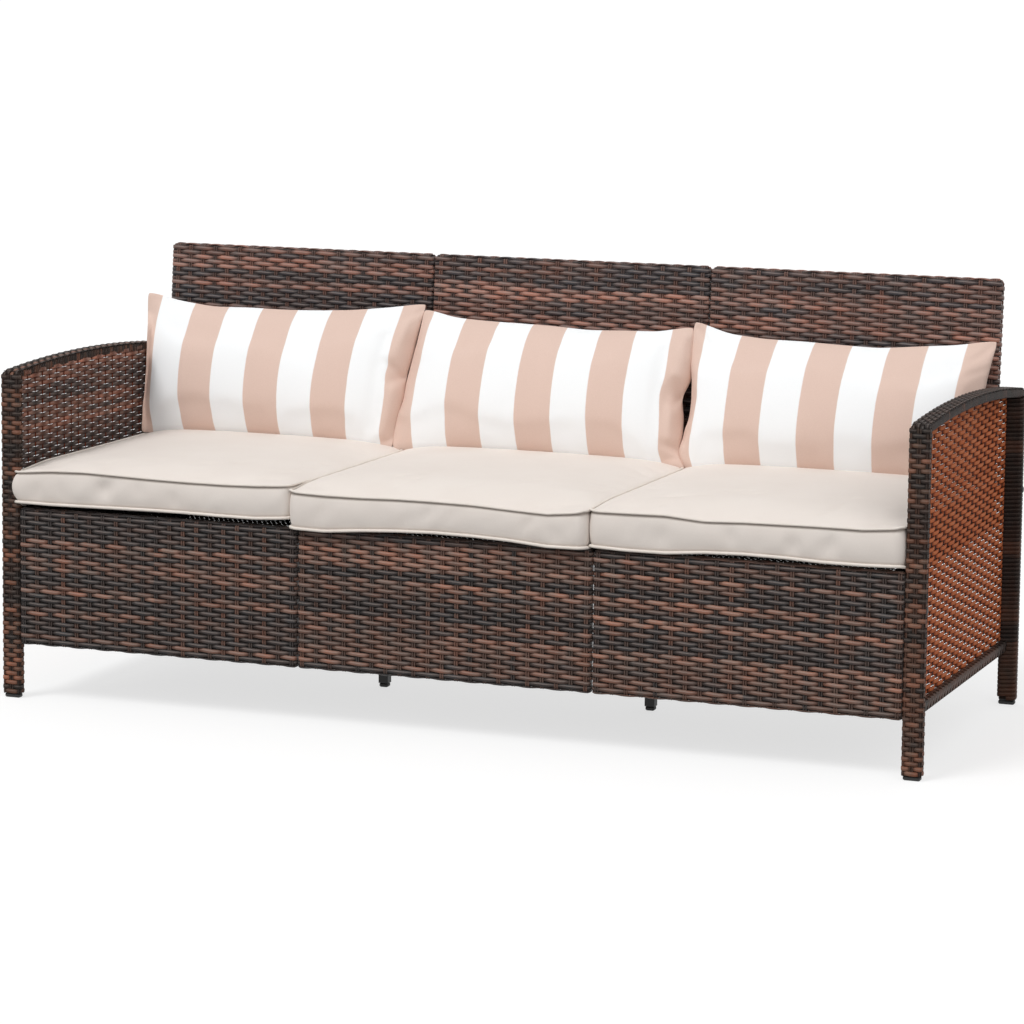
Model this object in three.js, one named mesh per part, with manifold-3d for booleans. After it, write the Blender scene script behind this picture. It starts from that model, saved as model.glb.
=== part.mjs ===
// Rattan garden sofa for three, in millimetres, +Z up, +Y towards the back.
// Steel tubes wrapped in flat plastic strand, bolted up from two arm ends, three seat
// modules and three back panels, with loose seat cushions and loose striped pillows.

import * as THREE from 'three';
import { mergeVertices } from 'three/addons/utils/BufferGeometryUtils.js';
import Module from 'manifold-3d';

// Overall sizes
const overallWidth = 1820;
const armDepth = 730;
const seatHeight = 372;
const moduleCount = 3;

// Clearances
const seatGap = 0.3;
const moduleGap = 0.8;
const cutOverrun = 5;

// Arm ends
const postWidth = 34;
const postDepth = 18;
const postCorner = 5;
const armFrontHeight = 634;
const armRearHeight = 618;
const armRise = 19;
const armrestThickness = 20;
const armEndRadius = 9;
const armEdgeRadius = 6;
const sideRailHeight = 22;
const sideRailWidth = 18;
const sideRailBottom = 105;
const sideRailCorner = 5;
const meshThickness = 4;

// Foot caps
const capHeight = 8;
const capInset = 1;
const capChamfer = 2;
const capCorner = 4;
const plugHeight = 26;
const plugWall = 3;

// Front skirts
const skirtThickness = 22;
const skirtProud = 2;
const skirtBottom = 106;
const skirtEdge = 4;

// Seat decks
const deckRailWidth = 30;
const deckRailHeight = 20;
const deckRailCorner = 4;
const deckRearOffset = 2;
const netThickness = 4;
const netDrop = 1;

// Centre legs
const legSize = 20;
const legCorner = 2;
const legPlace = 388;

// Back panels
const backHeight = 459;
const backThickness = 25;
const backSetback = 103;
const backRecline = THREE.MathUtils.degToRad(4.6);
const backRimWidth = 25;
const backRimRadius = 8;
const backCornerRadius = 12;
const backSheetThickness = 5;

// Stays that tie the outer back panels to the rear posts
const stayHeight = 20;
const stayWidth = 20;
const stayRise = 50;

// Bolts
const boltRadius = 3;
const boltHeadRadius = 6.5;
const boltHeadHeight = 3.5;
const boltClearance = 0.4;
const boltBite = 16;
const frontBoltDrop = 67;
const boltSides = 12;

// Seat cushions
const cushionSideGap = 1.6;
const cushionRearGap = 3;
const cushionOverhang = 8;
const middleForward = 10;
const cushionBand = 60;
const cushionCrown = 20;
const cushionCorner = 34;
const cushionDraw = 5;
const cushionBandSwell = 3;
const cushionHem = 5;
const crownPower = 2.4;

// Pillows
const pillowSideGap = 2.5;
const pillowHeight = 292;
const pillowThickness = 112;
const pillowDraw = 11;
const pillowLean = THREE.MathUtils.degToRad(11);
const pillowPower = 2.6;
const pillowFullness = 0.62;

// Worked out from the sizes above
const innerHalfWidth = overallWidth / 2 - postWidth;
const moduleWidth = (2 * innerHalfWidth - (moduleCount + 1) * moduleGap) / moduleCount;
const modulePitch = moduleWidth + moduleGap;
const skirtBack = skirtThickness - skirtProud;
const deckBottom = seatHeight - deckRailHeight;
const frontBoltHeight = seatHeight - frontBoltDrop;
const stayMiddle = seatHeight + stayRise;
const backFootPlace = armDepth - backSetback;
const backFootHeight = seatHeight + seatGap + backThickness * Math.sin(backRecline);
const cushionWidth = modulePitch - 2 * cushionSideGap;
const cushionDepth = backFootPlace - cushionRearGap + cushionOverhang;
const pillowWidth = modulePitch - 2 * pillowSideGap;
const depthCentre = (armDepth - cushionOverhang - middleForward) / 2;

const wasm = await Module();
wasm.setup();

function finish(colour, roughness, metalness = 0) {
  return new THREE.MeshStandardMaterial({ color: colour, roughness, metalness });
}

const finishes = {
  wrap: finish(0x4a3a35, 0.55),
  armMesh: finish(0x9a5530, 0.5),
  weave: finish(0x5d4038, 0.5),
  deck: finish(0x3b2c27, 0.6),
  cap: finish(0x1d1b1b, 0.6),
  steel: finish(0x1b1a1a, 0.45, 0.6),
  zinc: finish(0x9c9a96, 0.35, 0.9),
  cushion: finish(0xe3d8cd, 0.9),
  pillow: finish(0xe9d3c6, 0.9),
};

function part(name, geometry, material, place = [0, 0, 0]) {
  const mesh = new THREE.Mesh(geometry, material);
  mesh.name = name;
  mesh.position.set(...place);
  return mesh;
}

// Solids for cutting

function toSolid(geometry) {
  const bare = geometry.clone();
  bare.deleteAttribute('normal');
  bare.deleteAttribute('uv');
  const merged = mergeVertices(bare);
  return new wasm.Manifold(new wasm.Mesh({
    numProp: 3,
    vertProperties: new Float32Array(merged.attributes.position.array),
    triVerts: new Uint32Array(merged.index.array),
  }));
}

function toGeometry(solid) {
  const { vertProperties, triVerts } = solid.getMesh();
  const geometry = new THREE.BufferGeometry();
  geometry.setAttribute('position', new THREE.BufferAttribute(new Float32Array(vertProperties), 3));
  geometry.setIndex(new THREE.BufferAttribute(new Uint32Array(triVerts), 1));
  geometry.computeVertexNormals();
  return geometry;
}

function cutAway(geometry, cutters) {
  return toGeometry(cutters.reduce(
    (solid, cutter) => solid.subtract(toSolid(cutter)), toSolid(geometry)));
}

// Outlines, centred on their own origin

function roundedRectangle(width, height, radius) {
  const x = width / 2;
  const y = height / 2;
  const shape = new THREE.Shape();
  shape.moveTo(-x + radius, -y);
  shape.lineTo(x - radius, -y);
  shape.absarc(x - radius, -y + radius, radius, -Math.PI / 2, 0);
  shape.lineTo(x, y - radius);
  shape.absarc(x - radius, y - radius, radius, 0, Math.PI / 2);
  shape.lineTo(-x + radius, y);
  shape.absarc(-x + radius, y - radius, radius, Math.PI / 2, Math.PI);
  shape.lineTo(-x, -y + radius);
  shape.absarc(-x + radius, -y + radius, radius, Math.PI, 1.5 * Math.PI);
  return shape;
}

// A rim section with its two outer corners rounded, outer side towards +x
function rimSection(width, depth, radius) {
  const shape = new THREE.Shape();
  shape.moveTo(-width / 2, 0);
  shape.lineTo(width / 2 - radius, 0);
  shape.absarc(width / 2 - radius, radius, radius, -Math.PI / 2, 0);
  shape.lineTo(width / 2, depth - radius);
  shape.absarc(width / 2 - radius, depth - radius, radius, 0, Math.PI / 2);
  shape.lineTo(-width / 2, depth);
  return shape;
}

function rectangle(width, height) {
  const x = width / 2;
  const y = height / 2;
  const corners = [[-x, -y], [x, -y], [x, y], [-x, y]];
  return new THREE.Shape(corners.map(([u, v]) => new THREE.Vector2(u, v)));
}

// Straight runs of an outline

function upward(shape, height) {
  return new THREE.ExtrudeGeometry(shape, { depth: height, bevelEnabled: false, curveSegments: 3 });
}

// The outline's x and y become Y and Z, and the run is centred on X
function acrossX(shape, length) {
  return upward(shape, length).translate(0, 0, -length / 2).rotateX(Math.PI / 2).rotateZ(Math.PI / 2);
}

// The outline's x and y become X and Z, and the run starts at Y = 0
function acrossY(shape, length) {
  return upward(shape, length).rotateX(Math.PI / 2).translate(0, length, 0);
}

// A flat panel in the X-Z plane with all its outer edges eased, front face at Y = 0
function easedPanel(shape, thickness, edge) {
  return new THREE.ExtrudeGeometry(shape, {
    depth: thickness - 2 * edge,
    bevelEnabled: true,
    bevelThickness: edge,
    bevelSize: edge,
    bevelOffset: -edge,
    bevelSegments: 3,
    curveSegments: 4,
  }).rotateX(Math.PI / 2).translate(0, thickness - edge, 0);
}

// A plain round bar along X, starting at X = 0
function roundBar(radius, length) {
  return new THREE.CylinderGeometry(radius, radius, length, boltSides)
    .rotateZ(Math.PI / 2).translate(length / 2, 0, 0);
}

// The arm's arch, a circle through the front top, the crown and the rear top

const archRun = Math.hypot(armDepth, armFrontHeight - armRearHeight);
const archRadius = (archRun ** 2 / 4 + armRise ** 2) / (2 * armRise);
const archTilt = Math.atan2(armRearHeight - armFrontHeight, armDepth);
const archLid = Math.max(armFrontHeight, armRearHeight) + armRise + cutOverrun;
const archDrop = archRadius - armRise;
const archCentre = {
  y: armDepth / 2 + archDrop * Math.sin(archTilt),
  z: (armFrontHeight + armRearHeight) / 2 - archDrop * Math.cos(archTilt),
};

function archHeight(y, depthBelow) {
  return archCentre.z + Math.sqrt((archRadius - depthBelow) ** 2 - (y - archCentre.y) ** 2);
}

function archPoints(from, to, depthBelow, steps = 16) {
  return Array.from({ length: steps + 1 }, (_, i) => {
    const y = from + (to - from) * i / steps;
    return new THREE.Vector2(y, archHeight(y, depthBelow));
  });
}

function armrestOutline() {
  const shape = new THREE.Shape();
  shape.moveTo(0, archHeight(0, armrestThickness));
  shape.lineTo(0, archHeight(0, 0) - armEndRadius);
  shape.quadraticCurveTo(0, archHeight(0, 0), armEndRadius, archHeight(armEndRadius, 0));
  archPoints(armEndRadius, armDepth - armEndRadius, 0).slice(1)
    .forEach((point) => shape.lineTo(point.x, point.y));
  shape.quadraticCurveTo(
    armDepth, archHeight(armDepth, 0), armDepth, archHeight(armDepth, 0) - armEndRadius);
  archPoints(armDepth, 0, armrestThickness).slice(0, -1)
    .forEach((point) => shape.lineTo(point.x, point.y));
  return shape;
}

// Everything over the arch's underside, to trim what stands below it
function aboveArch() {
  const under = archPoints(-cutOverrun, armDepth + cutOverrun, armrestThickness + seatGap);
  return new THREE.Shape([
    ...under,
    new THREE.Vector2(armDepth + cutOverrun, archLid),
    new THREE.Vector2(-cutOverrun, archLid),
  ]);
}

function armrest(name, x) {
  const geometry = new THREE.ExtrudeGeometry(armrestOutline(), {
    depth: postWidth - 2 * armEdgeRadius,
    bevelEnabled: true,
    bevelThickness: armEdgeRadius,
    bevelSize: armEdgeRadius,
    bevelOffset: -armEdgeRadius,
    bevelSegments: 3,
    curveSegments: 4,
  });
  geometry.translate(0, 0, armEdgeRadius - postWidth / 2).rotateX(Math.PI / 2).rotateZ(Math.PI / 2);
  return part(name, geometry, finishes.wrap, [x, 0, 0]);
}

// A post stands from its foot cap to the arch, with a socket for the cap's plug and,
// where a bolt passes, a cross hole
function post(name, x, y, boltHeight) {
  const bottom = capHeight + seatGap;
  const plug = { width: postWidth - 2 * plugWall, depth: postDepth - 2 * plugWall };
  const blank = upward(roundedRectangle(postWidth, postDepth, postCorner), archLid - cutOverrun - bottom)
    .translate(0, y, bottom);
  const socket = upward(
    rectangle(plug.width + 2 * seatGap, plug.depth + 2 * seatGap),
    plugHeight + seatGap + cutOverrun).translate(0, y, bottom - cutOverrun);
  const bore = roundBar(boltRadius + boltClearance, postWidth + 2 * cutOverrun)
    .translate(-postWidth / 2 - cutOverrun, y, boltHeight);
  const trim = acrossX(aboveArch(), postWidth + 2 * cutOverrun);
  return part(name, cutAway(blank, [socket, bore, trim]), finishes.wrap, [x, 0, 0]);
}

// A moulded cap with chamfered edges and a plug that pushes into the tube above it
function footCap(name, width, depth, x, y) {
  const outline = roundedRectangle(width - 2 * capInset, depth - 2 * capInset, capCorner);
  const sole = new THREE.ExtrudeGeometry(outline, {
    depth: capHeight - 2 * capChamfer,
    bevelEnabled: true,
    bevelThickness: capChamfer,
    bevelSize: capChamfer,
    bevelOffset: -capChamfer,
    bevelSegments: 1,
    curveSegments: 3,
  }).translate(0, 0, capChamfer);
  const plug = upward(rectangle(width - 2 * plugWall, depth - 2 * plugWall), capChamfer + plugHeight)
    .translate(0, 0, capHeight - capChamfer);
  return part(name, toGeometry(toSolid(sole).add(toSolid(plug))), finishes.cap, [x, y, 0]);
}

function sideRail(name, x) {
  const run = armDepth - 2 * postDepth - 2 * seatGap;
  const section = roundedRectangle(sideRailWidth, sideRailHeight, sideRailCorner);
  return part(name, acrossY(section, run), finishes.wrap,
    [x, postDepth + seatGap, sideRailBottom + sideRailHeight / 2]);
}

// The open-weave panel fills the arm's frame, flush with the posts' inner faces
function armPanel(name, x) {
  const front = postDepth + seatGap;
  const rear = armDepth - postDepth - seatGap;
  const bottom = sideRailBottom + sideRailHeight + seatGap;
  const outline = new THREE.Shape([
    new THREE.Vector2(rear, bottom),
    ...archPoints(rear, front, armrestThickness + seatGap),
    new THREE.Vector2(front, bottom),
  ]);
  return part(name, acrossX(outline, meshThickness), finishes.armMesh, [x, 0, 0]);
}

// A pan-head bolt along X, head outwards on the given side
function bolt(name, side, y, z) {
  const dome = boltHeadHeight / 2;
  const reach = postWidth + moduleGap + boltBite;
  const profile = [
    [0, -reach], [boltRadius, -reach], [boltRadius, 0], [boltHeadRadius, 0],
    [boltHeadRadius, dome], [boltHeadRadius - dome, boltHeadHeight], [0, boltHeadHeight],
  ].map(([r, along]) => new THREE.Vector2(r, along));
  const geometry = new THREE.LatheGeometry(profile, boltSides).rotateZ(-side * Math.PI / 2);
  const x = side * (overallWidth / 2 + seatGap);
  return part(name, geometry, finishes.zinc, [x, y, z]);
}

function armEnd(side, label) {
  const middle = side * (overallWidth - postWidth) / 2;
  const inner = side * innerHalfWidth;
  const rearPlace = armDepth - postDepth / 2;
  const group = new THREE.Group();
  group.add(
    post(`${label}_arm_front_post`, middle, postDepth / 2, frontBoltHeight),
    post(`${label}_arm_rear_post`, middle, rearPlace, stayMiddle),
    armrest(`${label}_armrest`, middle),
    sideRail(`${label}_arm_side_rail`, inner + side * sideRailWidth / 2),
    armPanel(`${label}_arm_panel`, inner + side * meshThickness / 2),
    footCap(`${label}_front_foot_cap`, postWidth, postDepth, middle, postDepth / 2),
    footCap(`${label}_rear_foot_cap`, postWidth, postDepth, middle, rearPlace),
    bolt(`${label}_front_bolt`, side, postDepth / 2, frontBoltHeight),
    bolt(`${label}_rear_bolt`, side, rearPlace, stayMiddle),
  );
  return group;
}

// A blind hole for a bolt that comes in from the given side, its mouth at x
function boltHole(side, x, y, z) {
  const length = boltBite + seatGap + cutOverrun;
  return roundBar(boltRadius + boltClearance, length)
    .translate(side > 0 ? x - boltBite - seatGap : x - cutOverrun, y, z);
}

// A woven skirt over its own tube frame, closed on both faces. The outer ones take a bolt.
function skirt(name, centre, boltSide) {
  const height = seatHeight - skirtBottom;
  const blank = easedPanel(rectangle(moduleWidth, height), skirtThickness, skirtEdge)
    .translate(0, -skirtProud, skirtBottom + height / 2);
  if (boltSide === 0) return part(name, blank, finishes.weave, [centre, 0, 0]);
  const hole = boltHole(boltSide, boltSide * moduleWidth / 2, postDepth / 2, frontBoltHeight);
  return part(name, cutAway(blank, [hole]), finishes.weave, [centre, 0, 0]);
}

function deckRail(name, x) {
  const front = skirtBack + seatGap;
  const run = armDepth - deckRearOffset - front;
  const section = roundedRectangle(deckRailWidth, deckRailHeight, deckRailCorner);
  return part(name, acrossY(section, run), finishes.wrap, [x, front, seatHeight - deckRailHeight / 2]);
}

function seatModule(index, label) {
  const centre = index * modulePitch;
  const railPlace = (moduleWidth - deckRailWidth) / 2;
  const clearWidth = moduleWidth - 2 * deckRailWidth - 2 * seatGap;
  const rearRailFront = armDepth - deckRearOffset - deckRailHeight;
  const netRun = rearRailFront - skirtBack - 2 * seatGap;
  const netShape = rectangle(clearWidth, netThickness);
  const rearSection = roundedRectangle(deckRailHeight, deckRailHeight, deckRailCorner);
  const netMiddle = seatHeight - netDrop - netThickness / 2;
  const group = new THREE.Group();
  group.add(
    skirt(`${label}_skirt`, centre, index),
    deckRail(`${label}_deck_left_rail`, centre - railPlace),
    deckRail(`${label}_deck_right_rail`, centre + railPlace),
    part(`${label}_deck_rear_rail`, acrossX(rearSection, clearWidth), finishes.wrap,
      [centre, rearRailFront + deckRailHeight / 2, seatHeight - deckRailHeight / 2]),
    part(`${label}_deck_net`, acrossY(netShape, netRun), finishes.deck,
      [centre, skirtBack + seatGap, netMiddle]),
  );
  return group;
}

// Two square legs screwed up into the middle module's side rails
function centreLeg(side, label) {
  const x = side * (moduleWidth - deckRailWidth) / 2;
  const bottom = capHeight + seatGap;
  const blank = upward(roundedRectangle(legSize, legSize, legCorner), deckBottom - seatGap - bottom)
    .translate(0, 0, bottom);
  const bore = legSize - 2 * plugWall + 2 * seatGap;
  const socket = upward(rectangle(bore, bore), plugHeight + seatGap + cutOverrun)
    .translate(0, 0, bottom - cutOverrun);
  const group = new THREE.Group();
  group.add(
    part(`${label}_centre_leg`, cutAway(blank, [socket]), finishes.steel, [x, legPlace, 0]),
    footCap(`${label}_centre_foot_cap`, legSize, legSize, x, legPlace),
  );
  return group;
}

// A back panel in its own upright frame: front face at Y = 0, foot at Z = 0
function backPanel(index, label) {
  const rimPlace = (moduleWidth - backRimWidth) / 2;
  const uprightRun = backHeight - backRimWidth - seatGap;
  const clearWidth = moduleWidth - 2 * backRimWidth - 2 * seatGap;
  const sheetHeight = uprightRun - backRimWidth - 2 * seatGap;
  const group = new THREE.Group();

  const topOutline = new THREE.Shape();
  topOutline.moveTo(-moduleWidth / 2, 0);
  topOutline.lineTo(moduleWidth / 2, 0);
  topOutline.lineTo(moduleWidth / 2, backRimWidth - backCornerRadius);
  topOutline.quadraticCurveTo(moduleWidth / 2, backRimWidth,
    moduleWidth / 2 - backCornerRadius, backRimWidth);
  topOutline.lineTo(-moduleWidth / 2 + backCornerRadius, backRimWidth);
  topOutline.quadraticCurveTo(-moduleWidth / 2, backRimWidth,
    -moduleWidth / 2, backRimWidth - backCornerRadius);
  const topRail = easedPanel(topOutline, backThickness, skirtEdge);

  const rim = rimSection(backRimWidth, backThickness, backRimRadius);
  const mirrored = new THREE.Shape(rim.getPoints().map((p) => new THREE.Vector2(-p.x, p.y)));
  const foot = acrossX(rectangle(backThickness, backRimWidth), clearWidth);
  const sheet = acrossX(rectangle(backSheetThickness, sheetHeight), clearWidth);

  group.add(
    part(`${label}_back_top_rail`, topRail, finishes.wrap, [0, 0, uprightRun + seatGap]),
    part(`${label}_back_left_upright`, upward(mirrored, uprightRun), finishes.wrap,
      [-rimPlace, 0, 0]),
    part(`${label}_back_right_upright`, upward(rim, uprightRun), finishes.wrap,
      [rimPlace, 0, 0]),
    part(`${label}_back_foot_rail`, foot, finishes.wrap, [0, backThickness / 2, backRimWidth / 2]),
    part(`${label}_back_weave`, sheet, finishes.weave,
      [0, backSheetThickness / 2, backRimWidth + seatGap + sheetHeight / 2]),
  );
  group.position.set(index * modulePitch, backFootPlace, backFootHeight);
  group.rotation.x = -backRecline;
  return group;
}

// How far back a back panel's face lies at a height; depthIn is 0 at its front face
function backFace(z, depthIn) {
  const along = (z - backFootHeight + depthIn * Math.sin(backRecline)) / Math.cos(backRecline);
  return backFootPlace + depthIn * Math.cos(backRecline) + along * Math.sin(backRecline);
}

// A short tube from an outer back panel's upright to the rear post, bolted to both
function stay(side, label) {
  const low = stayMiddle - stayHeight / 2;
  const high = stayMiddle + stayHeight / 2;
  const outer = side * (innerHalfWidth - moduleGap);
  const outline = new THREE.Shape([
    new THREE.Vector2(backFace(low, backThickness) + seatGap, low),
    new THREE.Vector2(armDepth, low),
    new THREE.Vector2(armDepth, high),
    new THREE.Vector2(backFace(high, backThickness) + seatGap, high),
  ]);
  const blank = acrossX(outline, stayWidth);
  const hole = boltHole(side, side * stayWidth / 2, armDepth - postDepth / 2, stayMiddle);
  return part(`${label}_back_stay`, cutAway(blank, [hole]), finishes.steel,
    [outer - side * stayWidth / 2, 0, 0]);
}

// Plan of a box cushion: rounded corners, with each side drawn in between them
function cushionPlan(width, depth) {
  const edgeSteps = 6;
  const cornerSteps = 4;
  const outward = (angle) => new THREE.Vector2(Math.cos(angle), Math.sin(angle));
  const cornerCentre = (side) => new THREE.Vector2(
    Math.sign(Math.cos((side + 0.5) * Math.PI / 2)) * (width / 2 - cushionCorner),
    Math.sign(Math.sin((side + 0.5) * Math.PI / 2)) * (depth / 2 - cushionCorner));
  const points = [];
  for (let side = 0; side < 4; side += 1) {
    const normal = outward(side * Math.PI / 2);
    const start = cornerCentre(side - 1).addScaledVector(normal, cushionCorner);
    const end = cornerCentre(side).addScaledVector(normal, cushionCorner);
    for (let i = 0; i < edgeSteps; i += 1) {
      const share = i / edgeSteps;
      const pull = cushionDraw * 4 * share * (1 - share);
      points.push(start.clone().lerp(end, share).addScaledVector(normal, -pull));
    }
    for (let i = 0; i < cornerSteps; i += 1) {
      const angle = (side + i / cornerSteps) * Math.PI / 2;
      points.push(cornerCentre(side).addScaledVector(outward(angle), cushionCorner));
    }
  }
  return points;
}

// A closed skin over rings of equal point counts, from the lowest up, capped at both ends
function skinOver(rings, lowCentre, highCentre) {
  const count = rings[0].length;
  const points = [...rings.flat(), lowCentre, highCentre];
  const low = points.length - 2;
  const high = points.length - 1;
  const top = (rings.length - 1) * count;
  const triangles = [];
  for (let i = 0; i < count; i += 1) {
    const j = (i + 1) % count;
    triangles.push(low, j, i, high, top + i, top + j);
    for (let base = 0; base < top; base += count) {
      triangles.push(base + i, base + j, base + count + j);
      triangles.push(base + i, base + count + j, base + count + i);
    }
  }
  const geometry = new THREE.BufferGeometry().setFromPoints(points);
  geometry.setIndex(triangles);
  geometry.computeVertexNormals();
  return geometry;
}

function crownHeight(share) {
  return cushionBand + cushionCrown * (1 - share ** crownPower);
}

// A box cushion: flat sole, swelling band between two seams, crowned top
function cushionGeometry() {
  const crownShares = [0.94, 0.83, 0.68, 0.48, 0.25];
  const plan = cushionPlan(cushionWidth, cushionDepth);
  const seam = 1 - 2 * cushionBandSwell / cushionWidth;
  const hem = seam - 2 * cushionHem / cushionWidth;
  const levels = [
    [hem / 2, 0], [hem, 0], [seam, cushionHem], [1, cushionBand / 2], [seam, cushionBand],
    ...crownShares.map((share) => [seam * share, crownHeight(share)]),
  ];
  const rings = levels.map(([scale, z]) => plan.map(
    (point) => new THREE.Vector3(point.x * scale, point.y * scale, z)));
  return skinOver(rings, new THREE.Vector3(), new THREE.Vector3(0, 0, crownHeight(0)));
}

// Centre of a module's cushion; the middle one sits a little further forward
function cushionCentre(index) {
  const forward = index === 0 ? middleForward : 0;
  return new THREE.Vector3(
    index * modulePitch, cushionDepth / 2 - cushionOverhang - forward, seatHeight + seatGap);
}

function cushionTop(index, x, y) {
  const centre = cushionCentre(index);
  const across = 2 * Math.abs(x) / cushionWidth;
  const along = 2 * Math.abs(y - centre.y) / cushionDepth;
  const share = Math.max(across, along);
  return share < 1 ? centre.z + crownHeight(share) : 0;
}

// A knife-edged pillow: two full faces that meet in a seam with drawn-in sides and
// pointed corners. Width along X, height along Z, leaning back about X.
function pillowGeometry() {
  const columns = 20;
  const rows = 12;
  const spread = (i, n) => Math.sin((2 * i / n - 1) * Math.PI / 2);
  const points = [];
  const grid = [-1, 1].map((face) => Array.from({ length: columns + 1 }, () => []));
  const place = (i, j, face) => {
    const u = spread(i, columns);
    const v = spread(j, rows);
    const body = (1 - Math.abs(u) ** pillowPower) * (1 - Math.abs(v) ** pillowPower);
    return new THREE.Vector3(
      u * (pillowWidth / 2 - pillowDraw * (1 - v * v)),
      face * pillowThickness / 2 * Math.max(body, 0) ** pillowFullness,
      v * (pillowHeight / 2 - pillowDraw * (1 - u * u)));
  };
  for (let i = 0; i <= columns; i += 1) {
    for (let j = 0; j <= rows; j += 1) {
      const onSeam = i === 0 || j === 0 || i === columns || j === rows;
      grid[0][i][j] = points.push(place(i, j, onSeam ? 0 : -1)) - 1;
      grid[1][i][j] = onSeam ? grid[0][i][j] : points.push(place(i, j, 1)) - 1;
    }
  }
  const triangles = [];
  for (let i = 0; i < columns; i += 1) {
    for (let j = 0; j < rows; j += 1) {
      const [front, back] = grid.map((face) => [
        face[i][j], face[i + 1][j], face[i + 1][j + 1], face[i][j + 1]]);
      triangles.push(front[0], front[1], front[2], front[0], front[2], front[3]);
      triangles.push(back[0], back[2], back[1], back[0], back[3], back[2]);
    }
  }
  const geometry = new THREE.BufferGeometry().setFromPoints(points);
  geometry.setIndex(triangles);
  geometry.rotateX(-pillowLean);
  geometry.computeVertexNormals();
  return geometry;
}

// Lets a pillow down on its cushion and back against its panel, both a clearance away
function pillowPlace(index, geometry) {
  const settlings = 6;
  const positions = geometry.attributes.position;
  const points = Array.from({ length: positions.count }, (_, i) => (
    new THREE.Vector3().fromBufferAttribute(positions, i)));
  const place = new THREE.Vector3(index * modulePitch, 0, seatHeight + cushionBand + pillowHeight / 2);
  for (let pass = 0; pass < settlings; pass += 1) {
    place.y = Math.min(...points.map((p) => backFace(p.z + place.z, 0) - p.y)) - seatGap;
    place.z = Math.max(...points.map((p) => cushionTop(index, p.x, p.y + place.y) - p.z)) + seatGap;
  }
  return place.toArray();
}

function softGoods(index, label) {
  const pillow = pillowGeometry();
  const group = new THREE.Group();
  group.add(
    part(`${label}_seat_cushion`, cushionGeometry(), finishes.cushion,
      cushionCentre(index).toArray()),
    part(`${label}_pillow`, pillow, finishes.pillow, pillowPlace(index, pillow)),
  );
  return group;
}

const sofa = new THREE.Group();
[[-1, 'left'], [0, 'middle'], [1, 'right']].forEach(([index, label]) => {
  sofa.add(seatModule(index, label), backPanel(index, label), softGoods(index, label));
  if (index === 0) return;
  sofa.add(armEnd(index, label), centreLeg(index, label), stay(index, label));
});
sofa.position.y = -depthCentre;

export default sofa;
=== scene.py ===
"""Rattan garden sofa for three: woven and wrapped steel frame, box seat cushions, striped pillows.

Lengths are in metres, +Z up, +Y towards the back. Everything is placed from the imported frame.
"""

import math
from copy import copy

import bpy
import numpy as np
from mathutils import Matrix, Vector


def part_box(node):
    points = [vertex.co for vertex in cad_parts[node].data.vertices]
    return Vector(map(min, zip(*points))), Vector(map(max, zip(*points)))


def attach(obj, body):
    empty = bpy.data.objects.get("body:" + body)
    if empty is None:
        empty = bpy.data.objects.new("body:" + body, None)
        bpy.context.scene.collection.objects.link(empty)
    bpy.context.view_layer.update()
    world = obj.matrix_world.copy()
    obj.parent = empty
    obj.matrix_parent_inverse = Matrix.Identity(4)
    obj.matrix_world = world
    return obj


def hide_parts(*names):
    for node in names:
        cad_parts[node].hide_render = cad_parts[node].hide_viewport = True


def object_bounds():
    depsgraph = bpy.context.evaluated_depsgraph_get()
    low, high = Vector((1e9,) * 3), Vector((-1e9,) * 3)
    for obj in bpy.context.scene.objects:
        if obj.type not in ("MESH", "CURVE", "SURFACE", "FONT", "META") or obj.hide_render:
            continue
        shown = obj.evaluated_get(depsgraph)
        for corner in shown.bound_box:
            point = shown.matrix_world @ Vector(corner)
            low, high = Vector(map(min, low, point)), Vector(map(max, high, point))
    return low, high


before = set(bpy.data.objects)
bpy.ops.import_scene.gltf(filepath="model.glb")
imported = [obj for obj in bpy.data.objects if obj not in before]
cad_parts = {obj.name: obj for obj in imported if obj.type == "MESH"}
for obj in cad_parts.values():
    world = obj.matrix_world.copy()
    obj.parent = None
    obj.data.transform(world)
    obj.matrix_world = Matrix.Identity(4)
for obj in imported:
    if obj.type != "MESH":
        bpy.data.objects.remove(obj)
cad_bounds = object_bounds()

MM = 0.001
UP = np.array([0.0, 0.0, 1.0])
MODULES = ("left", "middle", "right")
ARMS = (("left", -1), ("right", 1))

# Weave of the skirts and backs: its pitches, how far its middle lies inside the faces of its node,
# and the radius of its bends over an edge
ROW_PITCH = 8.9 * MM
STAKE_PITCH = 27.6 * MM
WEAVE_DEPTH = 2.1 * MM
SHEET_EDGE = 5 * MM

# Skirts: the gap at each end, how far most courses reach out into it where another skirt joins on,
# and whether one does at the left and at the right end
SKIRT_GAP = 1.0 * MM
SKIRT_REACH = 1.5 * MM
JOINED_ENDS = {"left": (0, 1), "middle": (1, 1), "right": (1, 0)}

# Skirts: corners seen from above, how far short of the slab's middle the courses over its edges
# stop, how far they draw in at the ends, and how close to an edge the weave is nearly flat and painted
# darker, as shade
SKIRT_CORNER = 6 * MM
SKIRT_OPENING = 1.5 * MM
SKIRT_END_INSET = 5.5 * MM
SKIRT_FLAT_EDGE = 14 * MM

# How far the dark cores lie inside the woven skin; they are painted in the darkest tone with full painted
# shade, and a skirt's core is a slab that stands for the shade behind its weave
CORE_DEPTH = 4.6 * MM
CORE_END = 1.2 * MM
TUBE_DEPTH = 2.0 * MM

# Dark threads that close the chinks between the rows of a back, painted darkest as the shade in those
# chinks
THREAD_WIDE = 1.3 * MM
THREAD_THICK = 0.2 * MM

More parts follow.
